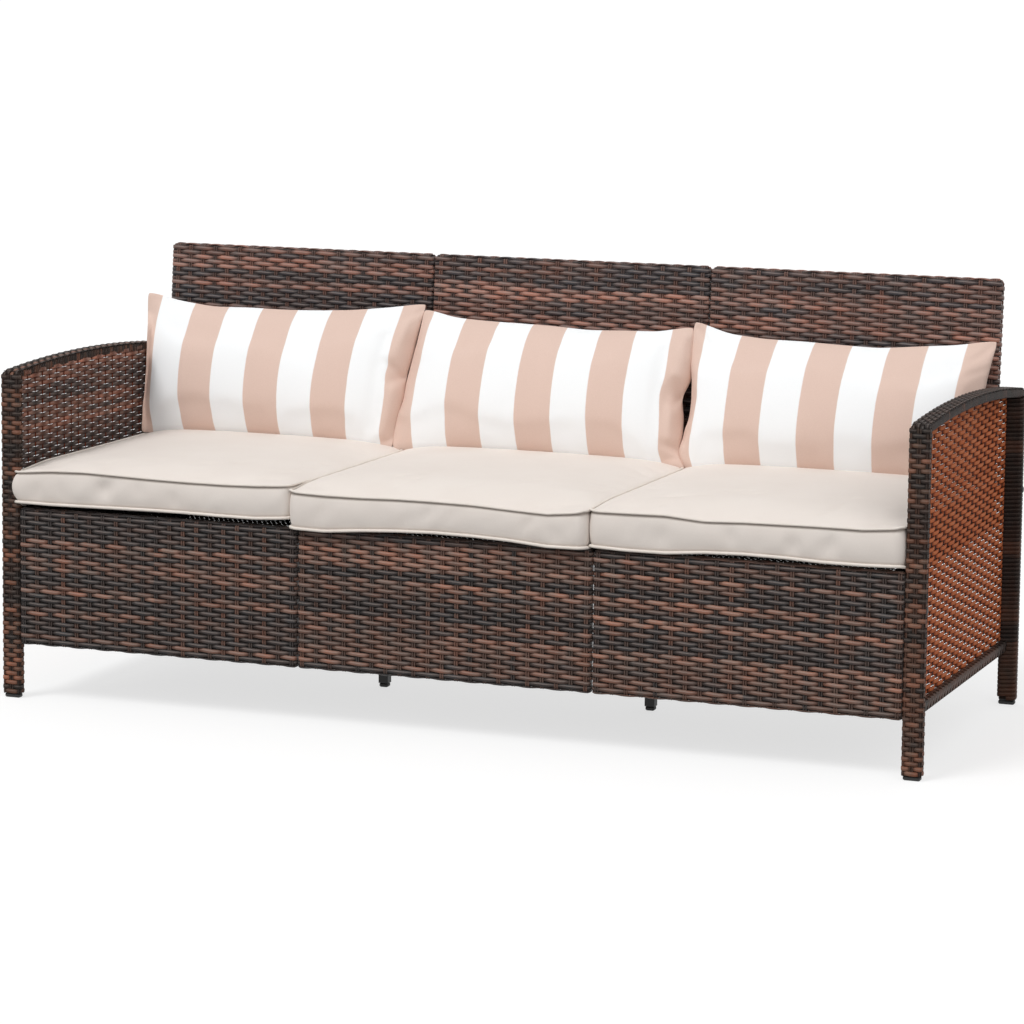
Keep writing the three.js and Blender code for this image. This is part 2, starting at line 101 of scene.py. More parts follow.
# Wrapped posts and rails
POST_ROW_PITCH = 8.9 * MM
POST_STAKES = 6
POST_PROUD = 0.8 * MM
POST_CORNER = 5 * MM
POST_WRAP_WIDE = 4.4 * MM
RAIL_INSET = 1.2 * MM
RAIL_CORNER = 4 * MM
WRAP_PITCH = 8.3 * MM
WRAP_THICK = 1.1 * MM
SIDE_RAIL_WRAP_PITCH = 21 * MM
SIDE_RAIL_WRAP_THICK = 0.5 * MM

# How far a front post's weave goes on up inside the armrest's
POST_TUCK = 12 * MM

# The turns of strand that close an armrest's sides and underside: their pitch, half width and half
# thickness, and how far they lie below the top's weave
ARMREST_TURN_PITCH = 6.8 * MM
ARMREST_TURN = (3.7 * MM, 0.9 * MM)
ARMREST_TURN_SUNK = 1.8 * MM

# Open weave of the arms and decks
MESH_ROW_PITCH = 8.9 * MM
MESH_STAKE_PITCH = 29.5 * MM
NET_STAKE_PITCH = 15 * MM

# How far to each side a surface is read to find the way of a strand's width
PROBE = 0.5 * MM

# Back panels: recline, thickness, and the upper corners seen from the front
BACK_RECLINE = math.radians(4.6)
BACK_THICKNESS = 25 * MM
BACK_CORNER = 12 * MM

# How far behind its front the wefts of a back end, on the uprights' inner sides; and how far inside
# its outline its top rows, its side rows, its dark threads and its last stake over the top stop
BACK_WEFT_END = 7 * MM
TOP_ROW_INSET = 1.5 * MM
SIDE_ROW_INSET = 3 * MM
THREAD_INSET = 2 * MM
TOP_STAKE_INSET = 6 * MM

# Cushions: corners seen from above, height of the band, rise of the top, span of the grid, how far
# the sides draw in, how much shorter than its node each is, and how far its sides may swell; then
# the radius of the piping below and on top, the span of its points and how far it stands out
CUSHION_CORNER = 20 * MM
CUSHION_BAND = 60 * MM
CUSHION_CROWN = 16 * MM
CUSHION_GRID = 8 * MM
CUSHION_DRAW = 2.5 * MM
CUSHION_SHORT = 2 * MM
SIDE_SWELL = 0.8 * MM
PIPING_RADIUS = 2.9 * MM
TOP_PIPING_RADIUS = 2.2 * MM
PIPING_STEP = 7 * MM
PIPING_PROUD = 1.0 * MM

# Pillows: height, thickness, how much wider than its node each is, the spans of its grid across and
# up, and how far below the middle the painted shade starts that darkens the cloth towards the lower seam
PILLOW_TALL = 290 * MM
PILLOW_THICK = 112 * MM
PILLOW_OVERWIDTH = 6 * MM
PILLOW_GRID = (84, 46)
PILLOW_SHADE_START = 128 * MM

# How many stripes cross a pillow, and how far into the first of them its left edge lies
PILLOW_STRIPES = 8.15
FIRST_STRIPE = 0.55

# How far a pillow stands forward of its node's middle, and clear of the back's front
PILLOW_FORWARD = 12 * MM
PILLOW_CLEARANCE = 1.5 * MM

# Covers as cloth, and how each kind is blown up: frames, pressure, furthest move, and how much the
# cloth shrinks (below 0 it grows)
CLOTH_STIFFNESS = 15.0
CLOTH_BENDING = 0.5
CLOTH_MASS = 0.3
CUSHION_AIR = (14, 1.6, 6 * MM, -0.012)
PILLOW_AIR = (12, 0.9, 4 * MM, -0.03)

# How many pleats a cushion's band has, and creases its top; and how many shallow folds a pillow
PLEATS = 14
CREASES = 9
SLACK_FOLDS = 8

# How far the left cushion's front corner laps over the post, to the left and forward
POST_LAP = (19 * MM, 3 * MM)


# Shader sums


class Shade:
    """A shader socket that can stand in a sum: each operator adds its Math node."""

    def __init__(self, recipe, socket):
        self.recipe, self.socket = recipe, socket

    def math(self, operation, second=0.0):
        return self.recipe.math(operation, self, second)

    def __add__(self, other):
        return self.math("ADD", other)

    def __sub__(self, other):
        return self.math("SUBTRACT", other)

    def __mul__(self, other):
        return self.math("MULTIPLY", other)

    def __pow__(self, other):
        return self.math("POWER", other)

    def __radd__(self, other):
        return self.recipe.math("ADD", other, self)

    def __rsub__(self, other):
        return self.recipe.math("SUBTRACT", other, self)


class Recipe:
    """The nodes of one material, or of the world."""

    def __init__(self, tree):
        self.tree = tree
        tree.nodes.clear()

    def node(self, kind, settings=None, sockets=None, output=0):
        """One node: its settings first, then the values or links of its sockets."""
        made = self.tree.nodes.new("ShaderNode" + kind)
        for name, value in (settings or {}).items():
            if name == "stops":
                self.set_stops(made.color_ramp, value)
            else:
                setattr(made, name, value)
        for name, value in (sockets or {}).items():
            if isinstance(value, Shade):
                self.tree.links.new(value.socket, made.inputs[name])
            else:
                made.inputs[name].default_value = value
        return Shade(self, made.outputs[output]) if len(made.outputs) else None

    @staticmethod
    def set_stops(ramp, stops):
        while len(ramp.elements) < len(stops):
            ramp.elements.new(1.0)
        for element, (place, colour) in zip(ramp.elements, stops):
            element.position, element.color = place, colour

    def math(self, operation, first, second):
        return self.node("Math", {"operation": operation}, {0: first, 1: second})

    def mix(self, factor, first, second, blend="MIX"):
        settings = {"data_type": "RGBA", "blend_type": blend}
        return self.node("Mix", settings, {0: factor, 6: first, 7: second}, output=2)

    def attribute(self, name, output=2):
        return self.node("Attribute", {"attribute_name": name}, output=output)

    def part(self, vector, axis):
        """One coordinate of a vector: 0, 1 or 2."""
        return self.node("SeparateXYZ", None, {0: vector}, output=axis)

    def noise(self, scale, detail=2.0):
        place = self.node("TexCoord", output=3)
        return self.node("TexNoise", None, {"Scale": scale, "Detail": detail, "Vector": place})

    def bump(self, strength, distance, height):
        sockets = {"Strength": strength, "Distance": distance, "Height": height}
        return self.node("Bump", None, sockets)


def colour(red, green, blue):
    """A colour as it reads on a screen, from 0 to 255, as the linear values that Blender takes."""
    levels = [level / 255 for level in (red, green, blue)]
    linear = [x / 12.92 if x <= 0.04045 else ((x + 0.055) / 1.055) ** 2.4 for x in levels]
    return (*linear, 1.0)


def finish(name, make):
    """A material whose recipe gives the sockets of one Principled shader."""
    material = bpy.data.materials.new(name)
    material.use_nodes = True
    recipe = Recipe(material.node_tree)
    shader = recipe.node("BsdfPrincipled", None, make(recipe))
    recipe.node("OutputMaterial", None, {"Surface": shader})
    return material


# Finishes

# The pale colour of the painted highlight along a strand, also used for its fine pale specks
HIGHLIGHT_AND_SPECKS = colour(190, 176, 168)


def woven_strand(name, stops, gloss=0.2, painted_highlight=0.35, painted_shade_tint=(0.45, 0.4, 0.38, 1), rough=0.4, varied=2.5):
    """Flat plastic strand: its tone runs along it, with painted shade where it dips and towards its edges,
    and a painted highlight near its upper edge where it stands out.

    Its arguments after gloss set how strong the painted highlight is, the tint of the painted shade, the
    roughness, and how far its hue changes from place to place.
    """

    def make(recipe):
        tone = recipe.attribute("tone")
        across = recipe.attribute("across")
        raised = recipe.attribute("raised")
        mottle = recipe.noise(55.0, 3.0)
        fine = recipe.noise(420.0, 2.0)
        base = recipe.node("ValToRGB", {"stops": stops}, {0: tone + (mottle - 0.5) * 0.2})
        turn = (recipe.noise(34.0, 2.0) - 0.5) * varied + 0.5
        hue = recipe.mix(turn, (1.2, 0.97, 0.88, 1), (0.82, 1.0, 1.1, 1))
        base = recipe.mix(1.0, base, hue, "MULTIPLY")
        # Painted shade: the base in the painted shade's tint, taken where little light is painted on a
        # point and towards the strand's edges
        sunk = recipe.mix(1.0, base, painted_shade_tint, "MULTIPLY")
        edge = across.math("ABSOLUTE") ** 3.0
        shaded = recipe.mix(raised * (1.0 - edge * 0.5), sunk, base)
        # Painted highlight: a pale band just above the middle of the strand's width, strongest where it
        # stands out, with fine pale specks mixed in
        rim = 1.0 - (across - 0.3).math("ABSOLUTE") * 2.0
        rim = rim.math("MAXIMUM") ** 2.0
        specked_and_highlit = recipe.mix(rim * raised * painted_highlight + (fine - 0.4) * 0.12, shaded, HIGHLIGHT_AND_SPECKS)
        ridge = (across * 7.0).math("SINE") * 0.35 + fine * 0.65
        return {
            "Base Color": specked_and_highlit,
            "Roughness": rough + (fine - 0.5) * 0.18,
            "Normal": recipe.bump(0.22, 0.6 * MM, ridge),
            "IOR": 1.46,
            "Specular IOR Level": gloss,
        }

    return finish(name, make)


def tinted(stops, red, green, blue):
    return tuple((place, (c[0] * red, c[1] * green, c[2] * blue, 1.0)) for place, c in stops)


WEAVE_STOPS = (
    (0.0, colour(55, 50, 49)), (0.24, colour(67, 61, 60)), (0.4, colour(92, 73, 65)),
    (0.62, colour(118, 90, 78)), (0.86, colour(140, 106, 92)), (1.0, colour(154, 115, 98)))
OUTER_ARM_STOPS = (
    (0.0, colour(100, 40, 14)), (0.3, colour(168, 88, 48)),
    (0.6, colour(190, 106, 64)), (1.0, colour(206, 126, 84)))
NET_STOPS = ((0.0, colour(30, 26, 25)), (1.0, colour(48, 38, 34)))


def moulded_plastic(recipe):
    grain = recipe.noise(900.0, 2.0)
    scuff = recipe.noise(60.0, 4.0)
    tint = recipe.mix((scuff - 0.4) * 0.6, colour(26, 25, 25), colour(62, 60, 58))
    bump = recipe.bump(0.25, 0.3 * MM, grain)
    return {"Base Color": tint, "Roughness": 0.48 + scuff * 0.2, "Normal": bump}


def painted_steel(recipe):
    peel = recipe.noise(350.0, 1.0)
    dust = recipe.noise(25.0, 5.0)
    tint = recipe.mix((dust - 0.45) * 0.5, colour(24, 23, 23), colour(58, 55, 52))
    bump = recipe.bump(0.2, 0.4 * MM, peel)
    return {"Base Color": tint, "Roughness": 0.36 + dust * 0.25, "Normal": bump}


# The pitch of the covers' plain weave
YARN_PITCH = 0.9 * MM


def cloth_bump(recipe, strength):
    """A plain weave of fine yarns, with a slower unevenness under it."""
    place = recipe.attribute("fabric", output=1)
    yarns = recipe.node("VectorMath", {"operation": "SCALE"}, {0: place, 3: 2 * math.pi / YARN_PITCH})
    weave = recipe.part(yarns, 0).math("SINE") * 0.5 + recipe.part(yarns, 1).math("SINE") * 0.5
    slow = recipe.noise(38.0, 4.0)
    return recipe.bump(strength, 0.8 * MM, weave * 0.25 + slow)


def cushion_cloth(recipe):
    blotch = recipe.noise(9.0, 4.0)
    thread = recipe.noise(650.0, 2.0)
    tint = recipe.mix(blotch, colour(229, 219, 211), colour(237, 229, 222))
    tint = recipe.mix((thread - 0.4) * 0.25, tint, colour(206, 194, 184))
    # A thin line under each piping is painted darker, as painted shade
    tint = recipe.mix(recipe.attribute("seam"), tint, colour(128, 112, 100))
    return {
        "Base Color": tint,
        "Roughness": 0.82 + blotch * 0.1,
        "Normal": cloth_bump(recipe, 0.25),
        "Sheen Weight": 0.12,
    }


def piping_cloth(recipe):
    blotch = recipe.noise(30.0, 3.0)
    tint = recipe.mix(blotch, colour(224, 215, 205), colour(238, 230, 222))
    return {"Base Color": tint, "Roughness": 0.85, "Sheen Weight": 0.12}


def pillow_cloth(recipe):
    """Wide stripes across the flat cloth, blush at both ends and white between, with painted shade
    darkening it towards the lower seam.
    """
    fabric = recipe.attribute("fabric", output=1)
    wobble = (recipe.noise(90.0, 2.0) - 0.5) * 0.03
    phase = (recipe.part(fabric, 2) * PILLOW_STRIPES + FIRST_STRIPE) * math.pi + wobble
    wave = phase.math("SINE") * 14.0 + 0.5
    blush_mask = wave.math("MAXIMUM").math("MINIMUM", 1.0)
    thread = recipe.noise(650.0, 2.0)
    blush = recipe.mix(thread, colour(217, 188, 174), colour(229, 203, 190))
    white = recipe.mix(thread, colour(246, 248, 250), colour(252, 254, 255))
    # Painted shade, darker towards the lower seam below where it starts
    painted_shade_depth = (0.0 - recipe.part(fabric, 1) - PILLOW_SHADE_START) * 60.0
    shade = painted_shade_depth.math("MAXIMUM") * 0.3
    striped = recipe.mix(blush_mask, white, blush)
    return {
        "Base Color": recipe.mix(shade, striped, colour(140, 120, 110)),
        "Roughness": 0.85,
        "Normal": cloth_bump(recipe, 0.2),
        "Sheen Weight": 0.1,
    }


FINISHES = {
    "weave": woven_strand("Woven_strand", WEAVE_STOPS),
    # The backs' strand is a lit copy of the woven strand, paler, as painted light on panels that lean back
    # towards the light
    "back": woven_strand("Lit_back_strand", tinted(WEAVE_STOPS, 1.16, 1.14, 1.22)),
    "wrap": woven_strand("Wrapped_strand", tinted(WEAVE_STOPS, 0.9, 0.8, 0.72), gloss=0.05, painted_highlight=0.16),
    "inner_arm": woven_strand("Inner_arm_strand", tinted(WEAVE_STOPS, 1.45, 1.22, 1.14), gloss=0.1,
                              painted_highlight=0.2),
    "net": woven_strand("Deck_strand", NET_STOPS, gloss=0.03, painted_highlight=0.0, rough=0.7),
    "outer_arm": woven_strand("Outer_arm_strand", OUTER_ARM_STOPS, gloss=0.03, painted_highlight=0.1,
                              painted_shade_tint=(0.4, 0.22, 0.12, 1), rough=0.6, varied=0.6),
    "cap": finish("Moulded_cap", moulded_plastic),
    "steel": finish("Painted_steel", painted_steel),
    "cushion": finish("Cushion_cloth", cushion_cloth),
    "piping": finish("Piping_cloth", piping_cloth),
    "pillow": finish("Striped_cloth", pillow_cloth),
}


# Lines that are read by the distance along them


class Line:
    """Straight pieces from point to point, once round if closed."""

    # How far on and back from a place the direction there is read
    REACH = 0.8 * MM

    def __init__(self, points, closed=False):
        points = np.asarray(points, float)
        if closed:
            points = np.vstack([points, points[:1]])
        steps = np.linalg.norm(np.diff(points, axis=0), axis=1)
        keep = np.concatenate([[True], steps > 1e-7])
        self.points = points[keep]
        self.at = np.concatenate([[0.0], np.cumsum(steps[steps > 1e-7])])
        self.length = self.at[-1]
        self.closed = closed

    def place(self, distance):
        d = np.mod(distance, self.length) if self.closed else np.clip(distance, 0, self.length)
        return np.stack([np.interp(d, self.at, column) for column in self.points.T], -1)

    def way(self, distance):
        """Unit direction at a distance along the line."""
        distance = np.asarray(distance)
        return unit(self.place(distance + self.REACH) - self.place(distance - self.REACH))

    def outward(self, distance):
        """To the right of the line's direction, which is outwards where it runs anticlockwise."""
        way = self.way(distance)
        return np.stack([way[..., 1], -way[..., 0]], -1)


def unit(vectors):
    return vectors / np.maximum(np.linalg.norm(vectors, axis=-1, keepdims=True), 1e-12)


def eased(corners, radius):
    """The line from corner to corner, with all but its two ends rounded."""
    corners = [np.asarray(corner, float) for corner in corners]
    turns = np.linspace(0, 1, 6)[:, None]
    line = [corners[0]]
    for before, corner, after in zip(corners, corners[1:], corners[2:]):
        into = corner + unit(before - corner) * radius
        out = corner + unit(after - corner) * radius
        line.extend((1 - turns) ** 2 * into + 2 * turns * (1 - turns) * corner + turns**2 * out)
    line.append(corners[-1])
    return Line(line)


def box_line(width, depth, radius):
    """An anticlockwise rounded rectangle that starts in the middle of its front."""
    x, y = width / 2, depth / 2
    line = eased([(0, -y), (x, -y), (x, y), (-x, y), (-x, -y), (0, -y)], radius)
    line.closed = True
    return line


# Strands

# The faces that close a strand's end, by how many sides it has
CAPS = {
    4: ((0, 1, 2, 3),),
    6: ((0, 1, 2, 3), (0, 3, 4, 5)),
    8: ((0, 1, 2, 3), (0, 3, 4, 7), (4, 5, 6, 7)),
}

# A box's corners, and its sides by their numbers
BOX_CORNERS = np.array([(x, y, z) for x in (0, 1) for y in (0, 1) for z in (0, 1)], float)
BOX_SIDES = np.array([
    (0, 1, 3, 2), (4, 6, 7, 5), (0, 4, 5, 1), (2, 3, 7, 6), (0, 2, 6, 4), (1, 5, 7, 3)])

# The bake map is cut into bands, of which a strand's sides fill this share, and where a face that is
# never seen lies in its band
BAND_START, BAND_SHARE = 0.05, 0.9
HIDDEN_SPOT = ((0.0, 0.05), (0.01, 0.05), (0.01, 0.1), (0.0, 0.1))


class Basket:
    """Gathers strands, and makes one mesh of them with a tone, the light and shade painted on each point,
    and a bake map.
    """

    def __init__(self):
        self.points, self.quads, self.maps = [], [], []
        self.tones, self.across, self.raised = [], [], []
        self.slots, self.rounded = [], []
        self.count = 0
        self.bands = 0

    def add(self, points, quads, maps, tones, across, raised, rounded):
        """Takes up one piece, whose quads go by its own points."""
        self.points.append(points)
        self.quads.append(quads + self.count)
        self.maps.append(maps)
        self.tones.append(tones)
        self.across.append(across)
        self.raised.append(raised)
        self.slots.append(np.zeros(len(quads), int))
        self.rounded.append(np.full(len(quads), rounded))
        self.count += len(points)

    def hidden_maps(self, count):
        """Places in the bake map for faces that are never seen."""
        spots = np.tile([HIDDEN_SPOT], (count, 1, 1))
        spots[..., 1] += self.bands
        return spots

    def strand(self, path, across, wide, thick, tone, closed=False, sides=6, turns=1, raised=0.6):
        """A flat oval strand along path. across is the way of its width; wide and thick are halves.

        turns is how many bands of the bake map it fills. Its last argument is the light painted on it, as
        painted shade and highlight: at 0 it takes the painted shade's tint, at 1 its own colour and the
        full painted highlight.
        """
        path = np.asarray(path, float)
        rings = len(path)
        if closed:
            ahead = np.roll(path, -1, 0) - np.roll(path, 1, 0)
        else:
            ahead = np.gradient(path, axis=0)
        face = unit(np.cross(unit(ahead), across))
        level = unit(np.cross(face, ahead))
        angle = 2 * np.pi * np.arange(sides) / sides
        wide = np.broadcast_to(wide, rings)[:, None, None]
        thick = np.broadcast_to(thick, rings)[:, None, None]
        flat, high = np.cos(angle)[None, :, None], np.sin(angle)[None, :, None]
        high = np.sign(high) * np.abs(high) ** 0.8
        ring = path[:, None] + level[:, None] * flat * wide + face[:, None] * high * thick
        spans = rings if closed else rings - 1
        i, k = np.meshgrid(np.arange(spans), np.arange(sides), indexing="ij")
        j, m = (i + 1) % rings, (k + 1) % sides
        quads = np.stack([i * sides + k, i * sides + m, j * sides + m, j * sides + k], -1).reshape(-1, 4)
        per_band = max(1, math.ceil(spans / turns))
        band = self.bands + i // per_band
        u0, u1 = (i % per_band) / per_band, (i % per_band + 1) / per_band
        v0 = band + BAND_START + BAND_SHARE * k / sides
        v1 = band + BAND_START + BAND_SHARE * (k + 1) / sides
        maps = np.stack([np.stack(c, -1) for c in ((u0, v0), (u0, v1), (u1, v1), (u1, v0))], -2)
        maps = maps.reshape(-1, 4, 2)
        if not closed:
            lids = np.array(CAPS[sides])
            ends = np.vstack([lids[:, ::-1], lids + (rings - 1) * sides])
            quads = np.vstack([quads, ends])
            maps = np.vstack([maps, self.hidden_maps(len(ends))])
        self.add(ring.reshape(-1, 3), quads, maps, np.repeat(tone, sides),
                 np.tile(np.cos(angle), rings), np.repeat(np.broadcast_to(raised, rings), sides), True)
        self.bands += turns

    def core(self, low, high, turn=None):
        """A dark bar inside the strands: the tube that they hide, or a sheet that stands for the shade
        inside a weave, painted in the darkest tone with full painted shade.
        """
        corners = np.array(low) + BOX_CORNERS * (np.array(high) - np.array(low))
        corners = turn(corners) if turn else corners
        dark, count = np.zeros(len(corners)), len(BOX_SIDES)
        self.add(corners, BOX_SIDES, self.hidden_maps(count), dark, dark + 1, dark, False)
        self.bands += 1

    def make(self, name, materials, body, replaced, slot):
        """One object of all pieces, which stands for the replaced CAD nodes."""
        points = np.vstack(self.points)
        quads = np.vstack(self.quads)
        obj = mesh_object(name, points, quads, materials, body)
        mesh = obj.data
        maps = np.vstack(self.maps)
        maps[..., 1] /= self.bands
        layer = mesh.uv_layers.new(name="OFBake")
        layer.data.foreach_set("uv", maps.astype(np.float32).ravel())
        add_values(mesh, "tone", np.concatenate(self.tones))
        add_values(mesh, "across", np.concatenate(self.across))
        add_values(mesh, "raised", np.concatenate(self.raised))
        mesh.polygons.foreach_set("material_index", np.concatenate(self.slots).astype(np.int32))
        mesh.polygons.foreach_set("use_smooth", np.concatenate(self.rounded))
        if replaced:
            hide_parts(*replaced)
        return obj


def add_values(mesh, name, values):
    attribute = mesh.attributes.new(name, "FLOAT", "POINT")
    attribute.data.foreach_set("value", np.asarray(values, np.float32))


def mesh_object(name, points, faces, materials, body):
    """A smooth mesh that rides on a body."""
    mesh = bpy.data.meshes.new(name)
    mesh.from_pydata(points, [], faces)
    mesh.polygons.foreach_set("use_smooth", np.ones(len(mesh.polygons), bool))
    for material in materials:
        mesh.materials.append(material)
    mesh.update()
    obj = bpy.data.objects.new(name, mesh)
    bpy.context.scene.collection.objects.link(obj)
    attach(obj, body)
    return obj


# Colour of the strands


def drift(rng, length, reach, count):
    """Smooth random values from -1 to 1 that change over about reach, at count even places."""
    knots = rng.uniform(-1, 1, max(4, int(length / reach) + 3))
    x = np.linspace(0, len(knots) - 1.001, count)
    i = x.astype(int)
    f = x - i
    f = f * f * (3 - 2 * f)
    return knots[i] * (1 - f) + knots[i + 1] * f


class Tones:
    """Strand colours come in runs of a few rows, and change slowly along each strand."""

    LEVELS = np.array([0.06, 0.24, 0.45, 0.66, 0.86])

    # How much of a wound strand keeps one colour
    HOLD = 0.42

    def __init__(self, seed, shares=(0.24, 0.16, 0.18, 0.24, 0.18), spread=0.3, run=2):
        self.rng = np.random.default_rng(seed)
        self.shares, self.spread, self.run = np.array(shares) / np.sum(shares), spread, run
        self.left = 0
        self.level = None

    def row(self, length, count):
        """Tones of one row, at count even places of its length."""
        if self.left <= 0:
            self.level = self.rng.choice(self.LEVELS, p=self.shares)
            self.left = self.rng.integers(1, self.run + 1)
        self.left -= 1
        slow = drift(self.rng, length, 0.3, count) * self.spread
        return np.clip(self.level + self.rng.uniform(-0.1, 0.1) + slow, 0.0, 1.0)

    def wound(self, length, count):
        """Tones of one long strand, whose colour holds for a few turns and then changes."""
        spans = max(2, round(length / self.HOLD))
        levels = self.rng.choice(self.LEVELS, spans + 1, p=self.shares)
        x = np.linspace(0, spans * 0.999, count)
        i = x.astype(int)
        f = np.clip((x - i) * 3 - 1, 0, 1)
        slow = drift(self.rng, length, 0.12, count) * 0.06
        return np.clip(levels[i] * (1 - f) + levels[i + 1] * f + slow, 0.0, 1.0)


# Weaving


def width_way(surface, u, t, aside, ahead):
    """The way of a strand's width on a surface, from a little to one side of it to the other."""
    far, _ = surface(u + aside, t + ahead)
    near, _ = surface(u - aside, t - ahead)
    return unit(far - near)


class Weave:
    """Sizes of one weave. Wefts pass over and under stakes that may be twins.

    row and stake are its pitches; weft and rod the half widths and half thicknesses of the wefts and
    stakes; lift and sink how far they swing out and back; middle and under a weft's width half way
    and under a stake, as shares of its full width; fine how many points it has per stake; curl makes
    its waves flat (below 1) or sharp, and slant lets it climb beside the stakes.
    """

    def __init__(self, row, stake, weft, rod, lift, sink, middle, under, twins=2, fine=6, sides=8,
                 curl=0.6, slant=0.0):
        self.row, self.stake = row, stake
        self.weft_wide, self.weft_thick = weft
        self.stake_wide, self.stake_thick = rod
        self.lift, self.sink = lift, sink
        self.middle, self.under = middle, under
        self.twins, self.fine, self.sides = twins, fine, sides
        self.curl, self.slant = curl, slant

    def spaced(self, row, stake):
        """The same weave at another spacing, so that it comes out even."""
        same = copy(self)
        same.row, same.stake = row, stake
        return same

    def weft(self, basket, surface, u, t, first, parity, tone, closed=False, calm=1.0):
        """One weft along u at t: over each stake of one parity and under the others."""
        phase = np.pi * ((u - first) / self.stake + parity)
        turn = np.cos(phase)
        swing = np.sign(turn) * np.abs(turn) ** self.curl * calm
        level = t - self.slant * np.sin(phase) * calm
        here, out = surface(u, level)
        taper = np.interp(turn, (-1, -0.5, 0, 1), (self.under, self.middle, self.middle, 1.0))
        # The weft is painted darker where it dips under a stake, as painted shade, and in full light where
        # it passes over
        basket.strand(here + out * (swing * self.lift)[:, None], width_way(surface, u, level, 0, PROBE),
                      self.weft_wide * taper, self.weft_thick, tone, closed, self.sides,
                      raised=np.clip(0.9 + turn * calm, 0, 1))

    def warp(self, basket, surface, u, rows, first_row, parity, tone):
        """One stake along t at u, pushed back by each weft that passes over it."""
        t = first_row + (np.arange(2 * rows + 1) - 1) * self.row / 2
        push = -self.sink * np.sin(np.pi * (np.arange(2 * rows + 1) / 2 + parity))
        for twin in range(self.twins):
            shift = (twin - (self.twins - 1) / 2) * 2.1 * self.stake_wide
            place = np.full_like(t, u + shift)
            here, out = surface(place, t)
            # Stakes are painted partly in shade, as they lie back behind the wefts
            basket.strand(here + out * push[:, None], width_way(surface, place, t, PROBE, 0),
                          self.stake_wide, self.stake_thick, np.full(len(t), tone), sides=4, raised=0.4)


SKIRT_WEAVE = Weave(ROW_PITCH, STAKE_PITCH, (4.15 * MM, 1.5 * MM), (2.1 * MM, 1.0 * MM),
                    1.9 * MM, 0.6 * MM, 0.97, 0.7, slant=0.7 * MM)
BACK_WEAVE = Weave(ROW_PITCH, STAKE_PITCH, (4.3 * MM, 1.4 * MM), (2.1 * MM, 1.0 * MM),
                   1.7 * MM, 0.6 * MM, 0.97, 0.8, slant=0.6 * MM)
POST_WEAVE = Weave(POST_ROW_PITCH, 16 * MM, (4.3 * MM, 1.1 * MM), (2.2 * MM, 0.8 * MM),
                   0.9 * MM, 0.3 * MM, 0.97, 0.9, slant=0.3 * MM)
MESH_WEAVE = Weave(MESH_ROW_PITCH, MESH_STAKE_PITCH, (4.65 * MM, 0.8 * MM), (2.2 * MM, 0.6 * MM),
                   1.5 * MM, 0.0 * MM, 1.0, 0.93, twins=1, fine=8, sides=6, curl=1.4)
LEFT_MESH_WEAVE = Weave(MESH_ROW_PITCH, MESH_STAKE_PITCH, (4.5 * MM, 0.8 * MM), (2.0 * MM, 0.6 * MM),
                        1.7 * MM, 0.0 * MM, 1.0, 0.93, twins=1, fine=8, sides=6, curl=1.4)
NET_WEAVE = Weave(MESH_ROW_PITCH, NET_STAKE_PITCH, (4.65 * MM, 0.8 * MM), (4.2 * MM, 0.7 * MM),
                  0.9 * MM, 0.15 * MM, 0.97, 1.0, twins=1, fine=4, sides=6)
ARMREST_WEAVE = Weave(8.2 * MM, 13 * MM, (4.2 * MM, 0.9 * MM), (2.0 * MM, 0.7 * MM),
                      1.2 * MM, 0.5 * MM, 0.86, 0.7, twins=1, fine=4)


def even(start, end, step):
    """Even places from start to end, about step apart."""
    return np.linspace(start, end, max(2, round((end - start) / step) + 1))


def box_of(*nodes):
    """Lowest and highest corners of some CAD nodes together."""
    corners = [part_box(node) for node in nodes]
    low = np.min([np.array(lo) for lo, _ in corners], 0)
    high = np.max([np.array(hi) for _, hi in corners], 0)
    return low, high


